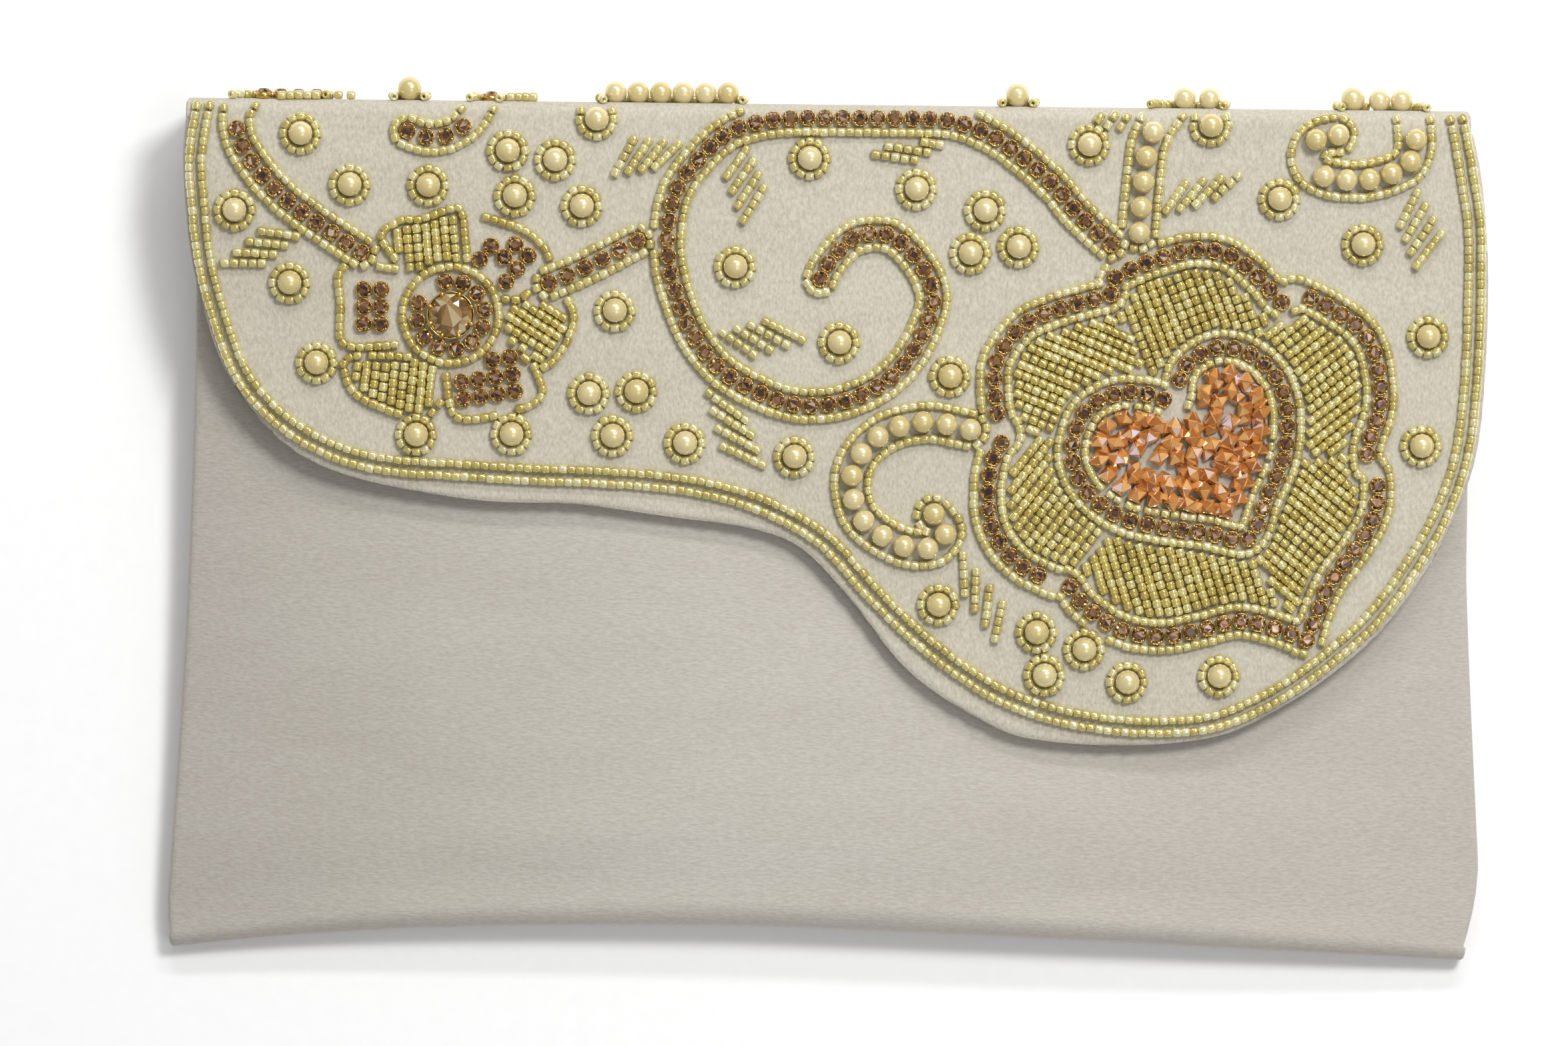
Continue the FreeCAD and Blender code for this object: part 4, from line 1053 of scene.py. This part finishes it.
def make_folds():
    first = steps(0, 0.25, 3) + steps(0.3, 1.0, 14) + steps(1.06, 1.5, 5)
    second = steps(1.5, 1.94, 5) + steps(2.0, 2.7, 14) + steps(2.75, 3.0, 3)
    top = ((SEAM_Y, TOP_Z), (FOLD_Y + FOLD_R, TOP_Z - 4.2))
    bottom = ((FOLD_Y + FOLD_R, 4.2), (SEAM_Y, 0.0))
    make_fold("top_fold_velvet", first, 0.5, IVORY, "velvet", 0.0, 0.0, "spine_velvet",
              ("flap", "spine"), *top)
    make_fold("back_fold_velvet", second, 0.5, IVORY, "velvet", 0.0, 0.0, None, ("spine", "bag"), *bottom)
    make_fold("top_fold_lining", first, 0.2, SATIN, "lining", 3.0, 1.1, "spine_lining",
              ("flap", "spine"), *top)
    make_fold("back_fold_lining", second, 0.2, SATIN, "lining", 3.0, 1.1, None, ("spine", "bag"), *bottom)


def make_linings():
    def front_lining(u, v, d):
        return front_point(0.012 + u * 0.976, 0.05 + v * 0.94, d + SATIN_DEPTH)

    def back_lining(u, v, d):
        y = fold_start(u) + 2 + v * (SEAM_Y - fold_start(u) - 2)
        x = left_x(y) + 1.4 + u * (right_x(y) - left_x(y) - 2.8)
        return place(x, y, SATIN_DEPTH + d + 0.1 * noise.noise(Vector((x / 14, y / 22, 0.3))))

    for name, point, node in (("front_satin_lining", front_lining, "front_lining"),
                              ("back_satin_lining", back_lining, "back_lining")):
        lining = thick(name, point, steps(0, 1, 60), steps(0, 1, 44), lambda u, v: 9.0, SATIN, SATIN_HALF)
        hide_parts(node)
        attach(lining, "bag")


def make_gussets():
    """V-folded velvet side walls between the back and the front."""
    for name, side in (("gusset_left", -1), ("gusset_right", 1)):
        def point(w, v, d, side=side):
            y = -64 + 139 * v
            edge = left_x(y) + 1.6 if side < 0 else right_x(y) - 1.6
            top = front_z(edge, y) - 3.0
            fold = 13 * (1.04 - math.sqrt((2 * w - 1) ** 2 + 0.01))
            x = edge - side * fold + side * d * math.sin(math.pi * w)
            z = 2.95 + (top - 2.95) * w + d * math.cos(math.pi * w)
            return place(x, y, z)

        wall = thick(name + "_velvet", point, steps(0, 1, 25), steps(0, 1, 60), lambda u, v: 9.0, IVORY, 0.3)
        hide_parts(name)
        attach(wall, "bag")


# ---------------------------------------------------------------- putting it together
SLOTS = {"beads": ("seed_beads", SEED), "pearls": ("pearl", PEARLY), "crystals": ("amber_crystal", AMBER),
         "stones": ("topaz_stone", TOPAZ), "stone": ("topaz_stone", CLEAR), "cups": ("gold_cup", GOLD),
         "bezel": ("gold_cup", GOLD)}


def kind_of(name):
    if "beads" in name or "rings" in name:
        return "beads"
    return name.rsplit("_", 1)[1]


def make_embroidery():
    embroider()
    for name in sorted(sewn):
        kind = kind_of(name)
        slot, mat = SLOTS[kind]
        if "petal" in name or "rosette_beads" in name:
            mat = GILT
        piece = scatter("sewn_" + name, kind, sewn[name], mat, kind in ("stones", "stone", "crystals"))
        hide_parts(name)
        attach(piece, "spine" if name.startswith("spine_") else "flap")


def dress_cad_nodes():
    """Materials for the CAD pieces that stay as they are."""
    for name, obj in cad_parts.items():
        if name.endswith("_board"):
            mat = BOARD
        elif name == "snap_magnet":
            mat = MAGNET
        elif name.startswith("snap_"):
            mat = GOLD
        else:
            continue
        obj.data.materials.clear()
        obj.data.materials.append(mat)


# ---------------------------------------------------------------- floor, light and camera
def lamp(name, where, size, energy, colour=(1, 1, 1)):
    data = bpy.data.lights.new(name, "AREA")
    data.shape = "RECTANGLE"
    data.size, data.size_y = size
    data.energy = energy
    data.color = colour
    obj = bpy.data.objects.new(name, data)
    obj.location = where
    aim = Vector((0, 0, 0.01)) - Vector(where)
    obj.rotation_euler = aim.to_track_quat("-Z", "Y").to_euler()
    bpy.context.collection.objects.link(obj)


def make_stage():
    mat, tree, shader = nodes_for("white_paper")
    tone = ramp(tree, grain(tree, 300, 3), [(0.3, (0.96, 0.96, 0.96)), (0.7, (0.98, 0.98, 0.98))])
    tree.links.new(tone, shader.inputs["Base Color"])
    shader.inputs["Roughness"].default_value = 0.9
    shader.inputs["Specular IOR Level"].default_value = 0.1
    floor = mesh_from("floor", [(-4, -4, 0), (4, -4, 0), (4, 4, 0), (-4, 4, 0)], [(0, 1, 2, 3)], mat)
    floor.location.z = cad_box[0][2] - 0.0002
    lamp("key", (0.45, 0.55, 1.15), (0.30, 0.30), 10.0)
    lamp("top_strip", (0.1, 1.05, 0.95), (0.9, 0.12), 5.5)
    lamp("fill", (0.5, -0.4, 1.4), (0.7, 0.7), 1.7)
    world = bpy.data.worlds.new("studio")
    world.use_nodes = True
    world.node_tree.nodes["Background"].inputs[0].default_value = (1, 1, 1, 1)
    world.node_tree.nodes["Background"].inputs[1].default_value = 0.41
    bpy.context.scene.world = world
    bpy.context.scene.view_settings.view_transform = "Standard"


def make_camera():
    """Straight above the flap, 1.5 m up, with the bag filling the frame as in a catalogue picture."""
    distance, seen = 1.5, 0.3133
    data = bpy.data.cameras.new("camera")
    data.lens = data.sensor_width * distance / seen
    data.clip_start, data.clip_end = 0.05, 20
    obj = bpy.data.objects.new("camera", data)
    obj.location = place(-8.4, 0.7, TOP_Z) + Vector((0, 0, distance))
    obj.rotation_euler = (0, 0, math.radians(0.62))
    bpy.context.collection.objects.link(obj)
    bpy.context.scene.camera = obj


make_front()
make_flap()
make_folds()
make_linings()
make_gussets()
make_embroidery()
dress_cad_nodes()
make_stage()
make_camera()
